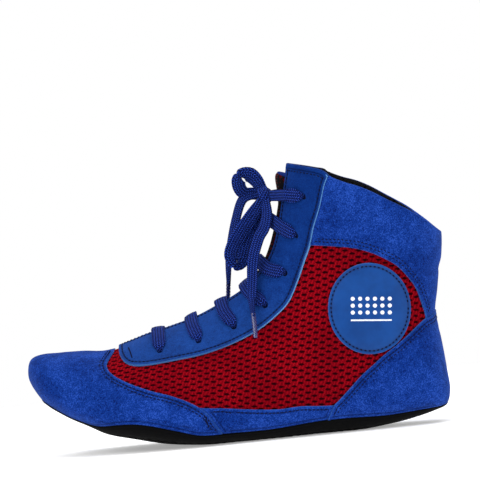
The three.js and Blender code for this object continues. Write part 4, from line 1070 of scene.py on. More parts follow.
def panel(name, outline, mat, off=(0.0, -1.3), holes=(), dom=Flat, h=2.3, step=1.1, rows=ROWS, grooves=(), rimset=None, lift=0.0, lift_span=6.0, puff=0.0, rnd=0.5, edge_step=None, displace=None, attrs=None, extra_pts=None, body="boot", floor_z=None, bottom=True):
    """One cut piece: outline in (u, p), with rounded cut edges, stitch grooves and a hidden back, one closed mesh."""
    rings = []
    for k, o in enumerate([outline] + list(holes)):
        R_ = even(dom.flat(o[:, 0], o[:, 1]), dom, step if k == 0 else min(step, 0.6))
        if (area2(R_) > 0) != (k == 0): R_ = R_[::-1]
        rings.append(R_)
    allr = np.vstack(rings)
    u, p = dom.up(allr); B3 = form(u, p)
    # denser copy of the edge, for distances
    dense, didx = [], []
    c0 = 0
    for R_ in rings:
        P = B3[c0:c0 + len(R_)]; Q = np.roll(P, -1, 0)
        for f in (0, 0.25, 0.5, 0.75): dense.append(P * (1 - f) + Q * f); didx.append(np.arange(c0, c0 + len(R_)))
        c0 += len(R_)
    dense, didx = np.vstack(dense), np.concatenate(didx)
    T3 = tree3(dense)
    pts = [allr]
    last = rows[-1] if len(rows) else 0.0
    for d in rows:
        for R_ in rings:
            if len(R_) < 20 and d > 1.2: continue
            N_ = inward(R_, dom)
            C = R_ + N_ * d
            uu, pp = dom.up(C); C3 = form(uu, pp)
            ok = inside(C, rings)
            dist = np.array([T3.find(v)[2] for v in C3])
            C = C[ok & (dist > 0.8 * d)]
            if len(C) > 2:
                # thin where rows bunch up
                u2, p2 = dom.up(C); q3 = form(u2, p2); keep = [0]
                for i in range(1, len(C)):
                    if np.linalg.norm(q3[i] - q3[keep[-1]]) > 0.45 * step: keep.append(i)
                pts.append(C[keep])
    lo, hi = allr.min(0), allr.max(0)
    if extra_pts is not None:
        G = extra_pts
    else:
        nx, ny = int((hi[0] - lo[0]) / h) + 2, int((hi[1] - lo[1]) / (h * 0.87)) + 2
        gx, gy = np.meshgrid(np.arange(nx), np.arange(ny), indexing="ij")
        G = np.stack([lo[0] + (gx + 0.5 * (gy % 2)) * h, lo[1] + gy * h * 0.87], -1).reshape(-1, 2)
    G = G + rng.normal(0, 0.03, G.shape)
    G = G[inside(G, rings)]
    if len(G):
        uu, pp = dom.up(G); G3 = form(uu, pp)
        dist = np.array([T3.find(v)[2] for v in G3])
        G = G[dist > last + (0.5 * h if len(rows) else 0.4)]
        pts.append(G)
    allp = np.vstack(pts)
    nb = len(allr)
    edges = []; c0 = 0; loops = []
    for R_ in rings:
        n = len(R_); loops.append((c0, n)); edges += [(c0 + i, c0 + (i + 1) % n) for i in range(n)]; c0 += n
    vs, es, fs, ov, oe, of_ = geometry.delaunay_2d_cdt([Vector(v) for v in allp], edges, [], 0, 1e-7)
    new = np.array([[v.x, v.y] for v in vs])
    idx = {}
    for i, o in enumerate(ov):
        for j in o: idx[j] = i
    tri = np.array([f for f in fs if len(f) == 3])
    cen = new[tri].mean(1)
    tri = tri[inside(cen, rings)]
    used = np.unique(tri); remap = -np.ones(len(new), int); remap[used] = np.arange(len(used))
    tri = remap[tri]; D = new[used]
    loopv = [[remap[idx[c + i]] for i in range(n)] for c, n in loops]
    u, p = dom.up(D); P0 = form(u, p)
    near = [T3.find(v) for v in P0]
    e = np.array([v[2] for v in near]); nb_i = didx[[v[1] for v in near]]
    isb = np.zeros(len(D), bool)
    for L in loopv:
        for v in L:
            if v >= 0: isb[v] = True
    e[isb] = 0
    # rimset picks the cut edges that stand over a lower layer: they are lifted and get a painted highlight of the given
    # strength
    rimw = np.ones(nb) if rimset is None else rimset(allr, dom)
    tag = rimw[nb_i]; up_ = (tag > 0).astype(float)
    fs_ = 1.0 if off[0] > off[1] else -1.0
    eg = e
    if len(holes):                                                     # stitch grooves follow the outer edge, not the punched holes
        T1 = tree3(dense[didx < len(rings[0])]); eg = np.array([T1.find(v)[2] for v in P0])
    o = np.full(len(D), float(off[0]))
    k = np.clip(e / rnd, 0, 1); o -= fs_ * rnd * (1 - np.sqrt(np.maximum(0, 1 - (1 - k) ** 2)))
    for gpos, gdep in grooves: o -= gdep * np.exp(-((eg - gpos) / 0.42) ** 2)
    t = np.clip(1 - e / lift_span, 0, 1); o += lift * up_ * t * t * (3 - 2 * t)
    if puff: o += puff * np.clip((e - 2.6) / 3.0, 0, 1) ** 1.5
    if displace is not None: o += displace(u, p, P0, e)
    top = skin(u, p, o)
    # rim marks where the painted highlight on a cut edge goes; stitch marks where the painted shade along the stitch
    # grooves goes
    A_ = {"rim": np.clip(1 - e / 0.42, 0, 1) * tag, "stitch": sum((np.exp(-((eg - g_[0]) / 0.5) ** 2) for g_ in grooves), np.zeros(len(e))) * 0.8}
    if attrs is not None: A_.update(attrs(u, p, P0, e, top))
    bot = skin(u, p, np.full(len(D), float(off[1])))
    if floor_z is not None:
        top[:, 2] = np.maximum(top[:, 2], floor_z + 0.0); bot[:, 2] = np.maximum(bot[:, 2], floor_z + 1.2)
    # outward triangles
    n3 = np.cross(top[tri[:, 1]] - top[tri[:, 0]], top[tri[:, 2]] - top[tri[:, 0]])
    nf = frame_at(u, p)[tri[:, 0]]
    sign = fs_ if np.sum((n3 * nf).sum(1)) > 0 else -fs_
    if sign < 0: tri = tri[:, ::-1]
    n = len(D)
    faces = tri.tolist()
    V = top
    if bottom:
        V = np.vstack([top, bot]); faces += (tri[:, ::-1] + n).tolist()
        # boundary edges of the kept triangles, walled down
        cnt = {}
        for a, b, c in tri:
            for q in ((a, b), (b, c), (c, a)): cnt[q] = 1
        for (a, b) in list(cnt):
            if (b, a) not in cnt: faces.append((b, a, a + n, b + n))
        A_ = {k_: np.concatenate([v_, v_ if k_ in ("rim",) else np.zeros_like(v_)]) if np.ndim(v_) == 1 else np.vstack([v_, v_]) for k_, v_ in A_.items()}
    ob = make(name, V, faces, mat, A_)
    sharp_walls(ob, 50)
    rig.ride(ob, body)
    PANELS[name] = (rings, dom, off[0], lift)
    return ob


TH_MAT = "thread"
STITCH = {}


def stitch_row(store, line, dom_is_up, off, pitch=2.7, length=1.8, r=0.36, dip=0.12):
    """dashes of thread along a (u, p) line lying on the surface"""
    L = np.asarray(line)
    P = form(L[:, 0], L[:, 1]); s = np.concatenate([[0], np.cumsum(np.linalg.norm(np.diff(P, axis=0), axis=1))])
    n = int(s[-1] / pitch)
    V, F = store
    K = 6
    if n < 1: return
    starts = np.arange(n) * pitch + (s[-1] - (n - 1) * pitch - length) / 2
    f = np.linspace(0, 1, 5)
    tt = (starts[:, None] + f[None, :] * length).reshape(-1)
    U_, P_ = np.interp(tt, s, L[:, 0]), np.interp(tt, s, L[:, 1])
    o_ = (np.interp(tt, s, off) if np.ndim(off) else np.full(len(tt), off)) + np.tile(np.array([-0.32, 0.06, 0.14, 0.06, -0.32]), n) - dip + 0.1
    C = skin(U_, P_, o_); N_ = frame_at(U_, P_)
    for i in range(n):
        c = C[i * 5:i * 5 + 5]; nn_ = N_[i * 5:i * 5 + 5]
        T = np.gradient(c, axis=0); T /= np.maximum(np.linalg.norm(T, axis=1, keepdims=True), 1e-9)
        A = np.cross(nn_, T); A /= np.maximum(np.linalg.norm(A, axis=1, keepdims=True), 1e-9); B = np.cross(T, A)
        b0 = len(V)
        rr = r * np.array([0.7, 1.0, 1.05, 1.0, 0.7])
        for j in range(5):
            for k in range(K):
                th = 2 * math.pi * k / K
                V.append(c[j] + (A[j] * math.cos(th) + B[j] * math.sin(th)) * rr[j])
        for j in range(4):
            for k in range(K):
                F.append((b0 + j * K + k, b0 + j * K + (k + 1) % K, b0 + (j + 1) * K + (k + 1) % K, b0 + (j + 1) * K + k))
        F.append(tuple(b0 + k for k in reversed(range(K)))); F.append(tuple(b0 + 4 * K + k for k in range(K)))


def off_line(line, dom, d):
    """(u, p) line moved d mm to its left in true length"""
    D = dom.flat(line[:, 0], line[:, 1])
    t = np.gradient(D, axis=0)
    g11, g12, g22 = metric(D, dom)
    a = g11 * t[:, 0] + g12 * t[:, 1]; b = g12 * t[:, 0] + g22 * t[:, 1]
    n = np.stack([-b, a], 1); ln = np.sqrt(np.maximum(g11 * n[:, 0] ** 2 + 2 * g12 * n[:, 0] * n[:, 1] + g22 * n[:, 1] ** 2, 1e-12))
    D = D + n / ln[:, None] * d
    u, p = dom.up(D)
    return np.stack([u, p], 1)


def clean(L):
    q = np.abs(L[:, 1]); i, j = 0, len(L) - 1
    for v in (0.0, 1.0):
        while i + 1 < j and abs(q[i + 1] - v) < 1e-6 and abs(q[i] - v) < 1e-6: i += 1
        while j - 1 > i and abs(q[j - 1] - v) < 1e-6 and abs(q[j] - v) < 1e-6: j -= 1
    return L[i:j + 1].copy()


def cross2(A, B):
    """where two (u, p) lines meet"""
    a = A * [9.6, 150]; b = B * [9.6, 150]
    p, r = a[:-1], np.diff(a, axis=0); q, s = b[:-1], np.diff(b, axis=0)
    rx = r[:, None, 0] * s[None, :, 1] - r[:, None, 1] * s[None, :, 0]
    dx = q[None, :, :] - p[:, None, :]
    with np.errstate(divide="ignore", invalid="ignore"):
        t = (dx[..., 0] * s[None, :, 1] - dx[..., 1] * s[None, :, 0]) / rx
        v = (dx[..., 0] * r[:, None, 1] - dx[..., 1] * r[:, None, 0]) / rx
    ok = (t >= 0) & (t <= 1) & (v >= 0) & (v <= 1)
    if not ok.any():
        d = np.linalg.norm(a[:, None] - b[None], axis=2); i, j = np.unravel_index(np.argmin(d), d.shape)
        return (A[i] + B[j]) / 2
    i, j = np.argwhere(ok)[0]
    return (a[i] + r[i] * t[i, j]) / [9.6, 150]


def throat_edge(side, u0, u1, grow=0.0, step=0.12):
    us = np.arange(u0, u1, step); us = np.append(us, u1)
    out = []
    T = np.array(THROAT)
    for u in us:
        w = float(np.interp(float(cr(TOP, np.array(u))[0]), T[:, 0], T[:, 1])) + grow
        qs = np.linspace(0, 0.6, 120)
        y = np.abs(form(np.full(120, u), side * qs)[:, 1])
        out.append((u, side * float(np.interp(w, y, qs))))
    return np.array(out)


CUR = {}
for side in (-1, 1):
    c = dict(toe=clean(dom_line(TOE_CAP_EDGE, side)), sole=clean(dom_line(SOLE_EDGE, side)), strip=dom_line(STRIP_TOP, side), heel=clean(dom_line(HEEL_EDGE, side)), low=dom_line(COLLAR_LOW, side), stay=clean(dom_line(EYESTAY_REAR, side)), rim=clean(dom_line(RIM, side)))
    c["toe"][0, 1] = 0; c["stay"][0, 1] = 0
    c["sole"][0, 1] = side; c["sole"][-1, 1] = side; c["heel"][-1, 1] = side; c["rim"][-1, 1] = side
    u_front = float(np.interp(-50 , TOP[:, 0], np.arange(len(TOP))))
    c["throat"] = throat_edge(side, u_front, 28.6)
    c["A"] = cross2(c["toe"], c["sole"]); c["B"] = cross2(c["heel"][:60], c["sole"]); c["S0"] = cross2(c["toe"], c["strip"]); c["S1"] = cross2(c["heel"], c["strip"])
    c["L0"] = cross2(c["low"], c["stay"]); c["L1"] = cross2(c["low"], c["heel"]); c["R0"] = cross2(c["rim"], c["stay"]); c["T1"] = cross2(c["throat"], c["rim"])
    CUR[side] = c

LAT, MED = CUR[-1], CUR[1]


def line_dist(D3, lines):
    """true distance from 3-D points to (u, p) lines"""
    P = np.vstack([form(*(np.array([np.interp(np.linspace(0, len(L) - 1, len(L) * 4), np.arange(len(L)), L[:, k]) for k in range(2)]))) for L in lines])
    t = tree3(P)
    return np.array([t.find(v)[2] for v in D3])


def near_lines(lines, tol=1.2, k=1.0):
    """1 where an outline runs along one of these lines"""
    def f(ring, dom):
        u, p = dom.up(ring)
        return (line_dist(form(u, p), lines) < tol).astype(float) * (k(np.asarray(u)) if callable(k) else k)
    return f


GR1 = ((2.6, 0.22),)
GR2 = ((2.3, 0.2), (4.5, 0.2))
parts_t = {}
stores = {}


def store(name):
    stores.setdefault(name, ([], []))
    return stores[name]


def rows_along(name, line, dists, off, sgn, **kw):
    for d in dists:
        stitch_row(store(name), off_line(line, Flat, d * sgn), None, off, **kw)


# toe cap
toe_lat = trim(LAT["toe"], None, LAT["A"]); toe_med = trim(MED["toe"], None, MED["A"])
sole_lat_f = trim(LAT["sole"], None, LAT["A"]); sole_med_f = trim(MED["sole"], None, MED["A"])
toe_outline = np.vstack([toe_lat, sole_lat_f[::-1], sole_med_f[1:], toe_med[::-1]])


def toe_disp(u, p, P, e):
    # the tip is pressed in a little where it meets the rubber, and the last's crease behind the toes
    return -0.9 * np.exp(-((P[:, 0] + 80) / 6) ** 2) * np.clip((P[:, 2] - 52) / 8, 0, 1) + 0.3 * np.exp(-((P[:, 0] + 99) / 8) ** 2) * np.clip(P[:, 2] / 40, 0, 1) - 0.25 * np.exp(-((P[:, 0] + 104 + 0.25 * P[:, 2]) / 4) ** 2)


panel("toe_cap_suede", toe_outline, "suede", (0.15, -1.3), dom=Polar, h=1.5, step=1.2, grooves=((2.4, 0.2), (4.4, 0.2)), rimset=near_lines([toe_lat, toe_med], k=0.4), lift=0.12, displace=toe_disp)
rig.replaces(bpy.data.objects["toe_cap_suede"], "toe_cap"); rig.slot(bpy.data.objects["toe_cap_suede"], "suede")

# side strips, heel counter
for side, nm in ((-1, "lateral"), (1, "medial")):
    c = CUR[side]
    t1 = trim(c["toe"], c["S0"], c["A"]); s1 = trim(c["sole"], c["A"], c["B"]); h1 = trim(c["heel"], c["B"], c["S1"]); st = trim(c["strip"], c["S1"], c["S0"])
    ob = panel(f"side_strip_{nm}_suede", np.vstack([t1, s1[1:], h1[1:], st[1:-1]]), "suede", (-0.25, -1.4), h=2.2, grooves=((2.4, 0.18),), rimset=near_lines([st], k=0.3), lift=0.15)
    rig.replaces(ob, f"side_strip_{nm}"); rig.slot(ob, "suede")
    c["strip_vis"] = st
h_lat = trim(LAT["heel"], LAT["B"], None); h_med = trim(MED["heel"], MED["B"], None).copy()
s_lat = trim(LAT["sole"], LAT["B"], None); s_med = trim(MED["sole"], MED["B"], None).copy()
h_med[:, 1] -= 2; s_med[:, 1] -= 2
heel_outline = np.vstack([h_lat, h_med[::-1][1:], s_med[1:], s_lat[::-1][1:-1]])
ob = panel("heel_counter_suede", heel_outline, "suede", (0.15, -1.3), h=2.2, grooves=((2.4, 0.2), (4.4, 0.2)), rimset=near_lines([trim(LAT["heel"], LAT["B"], None), trim(MED["heel"], MED["B"], None)], k=0.35), lift=0.45,
           displace=lambda u, p, P, e: -0.35 * np.exp(-((P[:, 2] - 62 - 0.1 * np.abs(P[:, 1])) / 2.2) ** 2) * np.clip((P[:, 0] - 118) / 12, 0, 1))
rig.replaces(ob, "heel_counter"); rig.slot(ob, "suede")

# collar panels
for side, nm in ((-1, "lateral"), (1, "medial")):
    c = CUR[side]
    low = trim(c["low"], c["L0"], c["L1"]); he = trim(c["heel"], c["L1"], None); rim = trim(c["rim"], None, c["R0"])[::-1] if False else trim(c["rim"], c["R0"], None)
    stay = trim(c["stay"], c["L0"], c["R0"])
    pb = side * (1 - 0.0016)
    he = he.copy(); he[-1, 1] = pb; rim = rim.copy(); rim[-1, 1] = pb
    back = np.stack([np.linspace(he[-1, 0], rim[-1, 0], 60), np.full(60, pb)], 1)
    out = np.vstack([low, he[1:], back[1:-1], rim[::-1], stay[::-1][1:-1]])
    crease = lambda u, p, P, e: (-0.55 * np.exp(-((P[:, 2] - 104 - 0.05 * (P[:, 0] - 140)) / 2.6) ** 2) * np.clip((P[:, 0] - 124) / 14, 0, 1)
                                 + 0.35 * np.exp(-((P[:, 2] - 111) / 4.0) ** 2) * np.clip((P[:, 0] - 118) / 14, 0, 1)
                                 + 0.4 * np.clip(e / 8, 0, 1))
    ob = panel(f"collar_panel_{nm}_suede", out, "suede", (-0.05, -1.4), h=2.3, grooves=(), rimset=near_lines([low], k=0.3), lift=0.3, displace=crease)
    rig.replaces(ob, f"collar_panel_{nm}"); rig.slot(ob, "suede")
    c["low_vis"], c["rim_vis"], c["back_top"] = low, rim, rim[-1].copy()

# eyestays, with punched lace holes
for side, nm in ((-1, "lateral"), (1, "medial")):
    c = CUR[side]
    stay = trim(c["stay"], None, c["R0"]); rim = trim(c["rim"], c["T1"], c["R0"]); thr = trim(c["throat"], None, c["T1"])
    eps = side * 0.0012
    stay = stay.copy(); stay[0, 1] = eps
    front = np.stack([np.linspace(thr[0, 0], stay[0, 0], 16), np.full(16, eps)], 1)
    out = np.vstack([stay, rim[::-1][1:], thr[::-1][1:], front[1:-1]])
    holes = []
    for (u, a) in HOLE_UA:
        q = side * q_of_angle([u], [a], side)[0]
        n = 16; d = np.array([u, q]) * [9.6, 150]
        g11, g12, g22 = metric(d[None], Flat)
        t = np.arange(n) * 2 * math.pi / n
        holes.append(np.stack([(d[0] + 1.9 * np.cos(t) / math.sqrt(g11[0])) / 9.6, (d[1] + (2.3 * np.sin(t) + side * 0.9) / math.sqrt(g22[0])) / 150], 1))
    hol3 = [form(np.array([h_[:, 0].mean()]), np.array([h_[:, 1].mean()]))[0] for h_ in holes]

    def stay_disp(u, p, P, e, hol3=hol3):
        r = np.min([np.linalg.norm(P - h_, axis=1) for h_ in hol3], axis=0)
        hem = np.clip((P[:, 2] - (RIM_Z(P[:, 0]) - 4.2)) / 0.6, 0, 1)
        return -0.55 * np.exp(-(r / 4.2) ** 2) + 0.35 * hem
    RIM_Z = lambda x: np.interp(x - SHIFT_X, [r_[0] for r_ in RIM], [r_[1] for r_ in RIM])
    # the painted highlight on the facing's rear edge grows stronger towards the collar
    ob = panel(f"eyestay_{nm}_nubuck", out, "facing", (0.1, -1.3), holes=holes, h=2.1, grooves=((2.5, 0.16),), rimset=near_lines([stay], k=lambda u_: 0.28 + 0.72 * np.clip((u_ - 11.0) / 4.0, 0, 1)), lift=0.45, displace=stay_disp)
    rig.replaces(ob, f"eyestay_{nm}"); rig.slot(ob, "facing_leather")
    c["stay_vis"], c["thr_vis"], c["rim_stay"] = stay, thr, rim


def rows_in(pname, line, dists, off, store_name, margin=0.8, **kw):
    """stitch rows inside a panel, each so far from a line of its outline"""
    rings, dom, o0, lift = PANELS[pname]
    fine = smooth(np.asarray(line) * [9.6, 150], 0.8) / [9.6, 150]
    ring3 = form(*dom.up(np.vstack([r for r in rings])))
    T_ = tree3(ring3)
    for d in dists:
        best = None
        for sg in (1, -1):
            L = off_line(fine, Flat, d * sg)
            ok = inside(dom.flat(L[:, 0], L[:, 1]), rings)
            if best is None or ok.sum() > best[1].sum(): best = (L, ok)
        L, ok = best
        dist = np.array([T_.find(v)[2] for v in form(L[:, 0], L[:, 1])])
        ok &= dist > margin * d
        # unbroken runs only
        i = 0
        while i < len(L):
            if ok[i]:
                j = i
                while j + 1 < len(L) and ok[j + 1]: j += 1
                if j - i > 4: stitch_row(store(store_name), L[i:j + 1], None, off + kw.get("up", 0.0), pitch=kw.get("pitch", 2.7), length=kw.get("length", 1.8), r=kw.get("r", 0.36))
                i = j + 1
            else: i += 1


rows_in("toe_cap_suede", toe_lat, (2.4, 4.4), 0.2, "toe_cap")
rows_in("toe_cap_suede", toe_med, (2.4, 4.4), 0.2, "toe_cap")
rows_in("heel_counter_suede", LAT["heel"], (2.4, 4.4), 0.2, "heel_counter")
hm = MED["heel"].copy(); hm[:, 1] -= 2
rows_in("heel_counter_suede", hm, (2.4, 4.4), 0.2, "heel_counter")
for side, nm in ((-1, "lateral"), (1, "medial")):
    c = CUR[side]
    rows_in(f"side_strip_{nm}_suede", c["strip_vis"], (2.4,), -0.25, f"side_strip_{nm}")
    rows_in(f"collar_panel_{nm}_suede", c["low_vis"], (2.7, 4.7), 0.15, f"collar_panel_{nm}", margin=0.6)
    pn = f"eyestay_{nm}_nubuck"
    rows_in(pn, c["stay_vis"], (2.5,), 0.34, f"eyestay_{nm}")
    rows_in(pn, c["thr_vis"], (2.5,), 0.22, f"eyestay_{nm}")
    rows_in(pn, c["rim_stay"], (3.9,), 0.4, f"eyestay_{nm}", margin=0.5)
    # the bar of close stitches across the front end of the facing
    f0, f1 = pt(-48.0, 70.2, side), pt(-45.6, 63.0, side)
    bar = np.stack([np.linspace(f0[k], f1[k], 12) for k in range(2)], 1)
    for dd in (0.0, 0.35):
        stitch_row(store(f"eyestay_{nm}"), off_line(bar, Flat, dd), None, 0.2, pitch=1.15, length=1.1, r=0.24)

# ------------------------------------------------------------------ mesh quarters: warp-knit with real hollows
def mesh_st(P):
    """pattern stations over the mesh, mm: along (level in the photograph's stance) and up"""
    x, y, z = P[:, 0] - SHIFT_X, P[:, 1], P[:, 2]
    s = x * math.cos(TH) - z * math.sin(TH)
    t = x * math.sin(TH) + z * math.cos(TH)
    w = np.interp(x, [-60, 10, 40], [1, 1, 0])
    t = t + 0.42 * w * (45 - np.abs(y))
    s = s + 1.2 * np.sin(t / 26)
    return s, t


def mesh_hole(P):
    s, t = mesh_st(P)
    c = np.round(s / 4.5)
    t2 = t + np.where(c % 2 == 0, 0, 2.1) + 0.25 * np.sin(c * 12.9)
    r = np.round(t2 / 4.2)
    jit = np.sin(c * 7.3 + r * 3.1)
    ds = s - c * 4.5 + 0.18 * jit; dt = t2 - r * 4.2 + 0.12 * np.sin(c * 5.1 + r * 9.7)
    lens = 0.92 * (1 - (np.clip(np.abs(ds), 0, 2.25) / 2.25) ** 2) ** 0.9
    return np.clip((lens - np.abs(dt)) / 0.4 + 0.25, 0, 1) * (np.abs(ds) < 2.22)


MESH_VIS = {}
for side, nm in ((-1, "lateral"), (1, "medial")):
    c = CUR[side]
    toe = trim(c["toe"], None, c["S0"]); strip = c["strip_vis"][::-1]; heel = trim(c["heel"], c["S1"], c["L1"]); low = trim(c["low"], c["L0"], c["L1"])[::-1]; stay = trim(c["stay"], None, c["L0"])[::-1]
    vis = np.vstack([toe, strip[1:], heel[1:], low[1:], stay[1:]])
    D = even(Flat.flat(vis[:, 0], vis[:, 1]), Flat, 1.2)
    if area2(D) < 0: D = D[::-1]
    grown = D - inward(D, Flat) * 3.6
    P0_ = form(*Flat.up(D)); T0 = tree3(P0_)
    gP = form(*Flat.up(grown))
    gd = np.array([T0.find(v)[2] for v in gP])
    keep = gd > 3.2
    grown = grown[keep]
    eps = 0.001
    gp = grown[:, 1] / 150
    gp = np.minimum(gp, -eps) if side < 0 else np.maximum(gp, eps)
    out = np.stack([grown[:, 0] / 9.6, gp], 1)
    lo, hi = (out * [9.6, 150]).min(0), (out * [9.6, 150]).max(0)
    hh = 0.9 if QUICK else 0.52
    nx, ny = int((hi[0] - lo[0]) / hh) + 2, int((hi[1] - lo[1]) / (hh * 0.87)) + 2
    gx, gy = np.meshgrid(np.arange(nx), np.arange(ny), indexing="ij")
    G = np.stack([lo[0] + (gx + 0.5 * (gy % 2)) * hh, lo[1] + gy * hh * 0.87], -1).reshape(-1, 2)
    # depth drives both the real hollows and the painted shade in them
    ob = panel(f"mesh_quarter_{nm}_knit", out, "mesh", (-1.6, -2.6), h=hh, rows=(), extra_pts=G, rnd=0.2,
               displace=lambda u, p, P, e: -0.72 * mesh_hole(P) + 0.07 * np.cos(mesh_st(P)[1] * 2 * math.pi / 2.1),
               attrs=lambda u, p, P, e, top: {"depth": mesh_hole(P), "st": np.stack([*mesh_st(P), np.zeros(len(P))], 1)})
    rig.replaces(ob, f"mesh_quarter_{nm}"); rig.slot(ob, "red_mesh")

# ------------------------------------------------------------------ ankle discs
for side, nm in ((-1, "lateral"), (1, "medial")):
    def disc(k, n=120):
        t = np.arange(n) * 2 * math.pi / n
        return np.array([pt(BADGE_C[0] + 0.914 * BADGE_R * k * math.cos(q), BADGE_C[1] + BADGE_R * k * math.sin(q), side) for q in t])
    dl = disc(1.0)
    ob = panel(f"badge_{nm}_disc", dl, "badge", (0.25, -1.4), h=2.4, grooves=((2.2, 0.3),), rnd=0.5, puff=0.35, rimset=lambda r_, d_: np.ones(len(r_)) * 0.5)
    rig.replaces(ob, f"badge_{nm}"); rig.slot(ob, "badge_synthetic")
    ring = disc(1 - 2.2 / BADGE_R); ring = np.vstack([ring, ring[:1]])
    stitch_row(store(f"badge_{nm}"), ring, None, 0.1, pitch=2.85, length=1.25, r=0.46)

    # a plain print: a block of round dots over a thin rule
    RB = -TH      # level when the boot is posed as photographed
    def blob(pts): return np.array([pt(BADGE_C[0] + (x * math.cos(RB) - z * math.sin(RB)) * (1 if side < 0 else -1), BADGE_C[1] + (x * math.sin(RB) + z * math.cos(RB)) , side) for x, z in [(0.82 * x + 1.0, 0.82 * z - 1.2) for x, z in pts]])
    def dot(cx, cz, r): return [(cx + r * math.cos(q), cz + r * math.sin(q)) for q in np.arange(20) * math.pi / 10]
    def bar_(x0, x1, z0, z1): return [(x0 + (x1 - x0) * f, z0) for f in np.linspace(0, 1, 16)[:-1]] + [(x1, z0 + (z1 - z0) * f) for f in np.linspace(0, 1, 4)[:-1]] + [(x1 + (x0 - x1) * f, z1) for f in np.linspace(0, 1, 16)[:-1]] + [(x0, z1 + (z0 - z1) * f) for f in np.linspace(0, 1, 4)[:-1]]
    shapes = [dot(-15 + 6 * i + 0.0, 9.5 - 5.6 * j, 1.7) for j in range(3) for i in range(6)] + [bar_(-16.6, 16.6, -8.6, -7.3)]
    pr = []
    for k, o_ in enumerate(shapes):
        pr.append(panel(f"badge_{nm}_print_{k}", blob(o_), "print", (0.72, 0.3), h=1.2, step=0.5, rows=(0.35,), rnd=0.1))
    bpy.ops.object.select_all(action="DESELECT")
    for q in pr: q.select_set(True)
    bpy.context.view_layer.objects.active = pr[0]
    bpy.ops.object.join()
    pr[0].name = f"badge_{nm}_print"
    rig.slot(pr[0], "badge_synthetic")

# ------------------------------------------------------------------ outsole: soft rubber cup with a sipped tread
def tread(u, p, P, e):
    n = frame_at(u, p)
    down = np.clip((-n[:, 2] - 0.86) / 0.08, 0, 1)
    x, y = P[:, 0], P[:, 1]
    zig = x + 2.4 * np.abs(((y / 6.5) % 2) - 1) * 2.0
    ph = (zig / 5.2) % 1.0
    groove = np.clip(1 - np.abs(ph - 0.5) / 0.17, 0, 1)
    rim_ = np.clip((e - 11) / 1.5, 0, 1)
    piv = np.hypot(x - 62, y + 2)                                   # turning disc under the ball of the foot is plain rings
    inp = (np.hypot(x + 48, y + 3) < 19)
    rings_ = np.clip(1 - np.abs(((np.hypot(x + 48, y + 3) / 4.2) % 1.0) - 0.5) / 0.2, 0, 1)
    g = np.where(inp, rings_, groove)
    # side wall: one fine line round the cup
    side_line = 0.22 * np.exp(-((e - 1.9) / 0.3) ** 2) * (1 - down)
    lip = 1.3 * np.exp(-((x + 93) / 10) ** 2) * np.clip(-n[:, 2], 0, 1) * np.clip(e / 2.0, 0, 1)
    return -1.65 * g * down * rim_ - side_line + lip


sole_m = MED["sole"].copy(); sole_m[:, 1] -= 2
sole_outline = np.vstack([LAT["sole"], sole_m[::-1][1:-1]])
hh = 2.0 if QUICK else 1.15
ob = panel("outsole_rubber_cup", sole_outline, "rubber", (0.6, -2.4), h=hh, rows=(0.3, 0.7, 1.2, 1.9, 2.6, 3.4), rnd=0.6, displace=tread, floor_z=0.0)
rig.replaces(ob, "outsole"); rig.slot(ob, "sole_rubber")


# ------------------------------------------------------------------ sweeps along a line on the form
def sweep(name, line, sec, mat, dom=Flat, step=1.0, base=0.0, closed_ends=True, body="boot", vary=None, uvscale=1.0):
    """sec: closed outline of (s, o): s to the left of the line, o off the form"""
    L = smooth(np.asarray(line) * [9.6, 150], step) / [9.6, 150]
    P = skin(L[:, 0], L[:, 1], np.full(len(L), base)); N_ = frame_at(L[:, 0], L[:, 1])
    for _ in range(3): P[1:-1] = (P[:-2] + 2 * P[1:-1] + P[2:]) / 4
    T = np.gradient(P, axis=0); T /= np.maximum(np.linalg.norm(T, axis=1, keepdims=True), 1e-9)
    B = np.cross(N_, T); B /= np.maximum(np.linalg.norm(B, axis=1, keepdims=True), 1e-9)
    V, F, UV = [], [], []
    K = len(sec); s_ = np.concatenate([[0], np.cumsum(np.linalg.norm(np.diff(P, axis=0), axis=1))])
    for i in range(len(P)):
        w = 1.0 if vary is None else vary(s_[i], s_[-1])
        for a, b in sec: V.append(P[i] + B[i] * a * w + N_[i] * b); UV.append((s_[i] * uvscale, a, 0))
    F = [(i * K + k, i * K + (k + 1) % K, (i + 1) * K + (k + 1) % K, (i + 1) * K + k) for i in range(len(P) - 1) for k in range(K)]
    if closed_ends:
        F.append(tuple(reversed(range(K)))); F.append(tuple((len(P) - 1) * K + k for k in range(K)))
    ob = make(name, V, F, mat, {"uvl": np.array(UV), "rim": np.zeros(len(V)), "stitch": np.zeros(len(V))})
    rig.ride(ob, body)
    return ob


def fix_normals(ob):
    import bmesh
    bm = bmesh.new(); bm.from_mesh(ob.data); bmesh.ops.recalc_face_normals(bm, faces=bm.faces); bm.to_mesh(ob.data); bm.free()


def oval(rs, ro, cs=0.0, co=0.0, n=16, e=0.85):
    t = np.arange(n) * 2 * math.pi / n
    return [(cs + rs * math.copysign(abs(math.cos(q)) ** e, math.cos(q)), co + ro * math.copysign(abs(math.sin(q)) ** e, math.sin(q))) for q in t]


FOLD_DOWN = 0.9
for side, nm in ((-1, "lateral"), (1, "medial")):
    c = CUR[side]
    # turned top edge of the collar and of the facing: the upper folds over to meet the lining
    ob = sweep(f"collar_fold_{nm}", c["rim_vis"], oval(1.25, 1.62, FOLD_DOWN * side, -1.58, 18), "suede", vary=None); fix_normals(ob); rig.slot(ob, "suede")
    rs = c["rim_stay"]
    ob = sweep(f"facing_fold_{nm}", rs, oval(1.05, 1.7, FOLD_DOWN * side * 0.7, -1.4, 18), "facing"); fix_normals(ob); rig.slot(ob, "facing_leather")

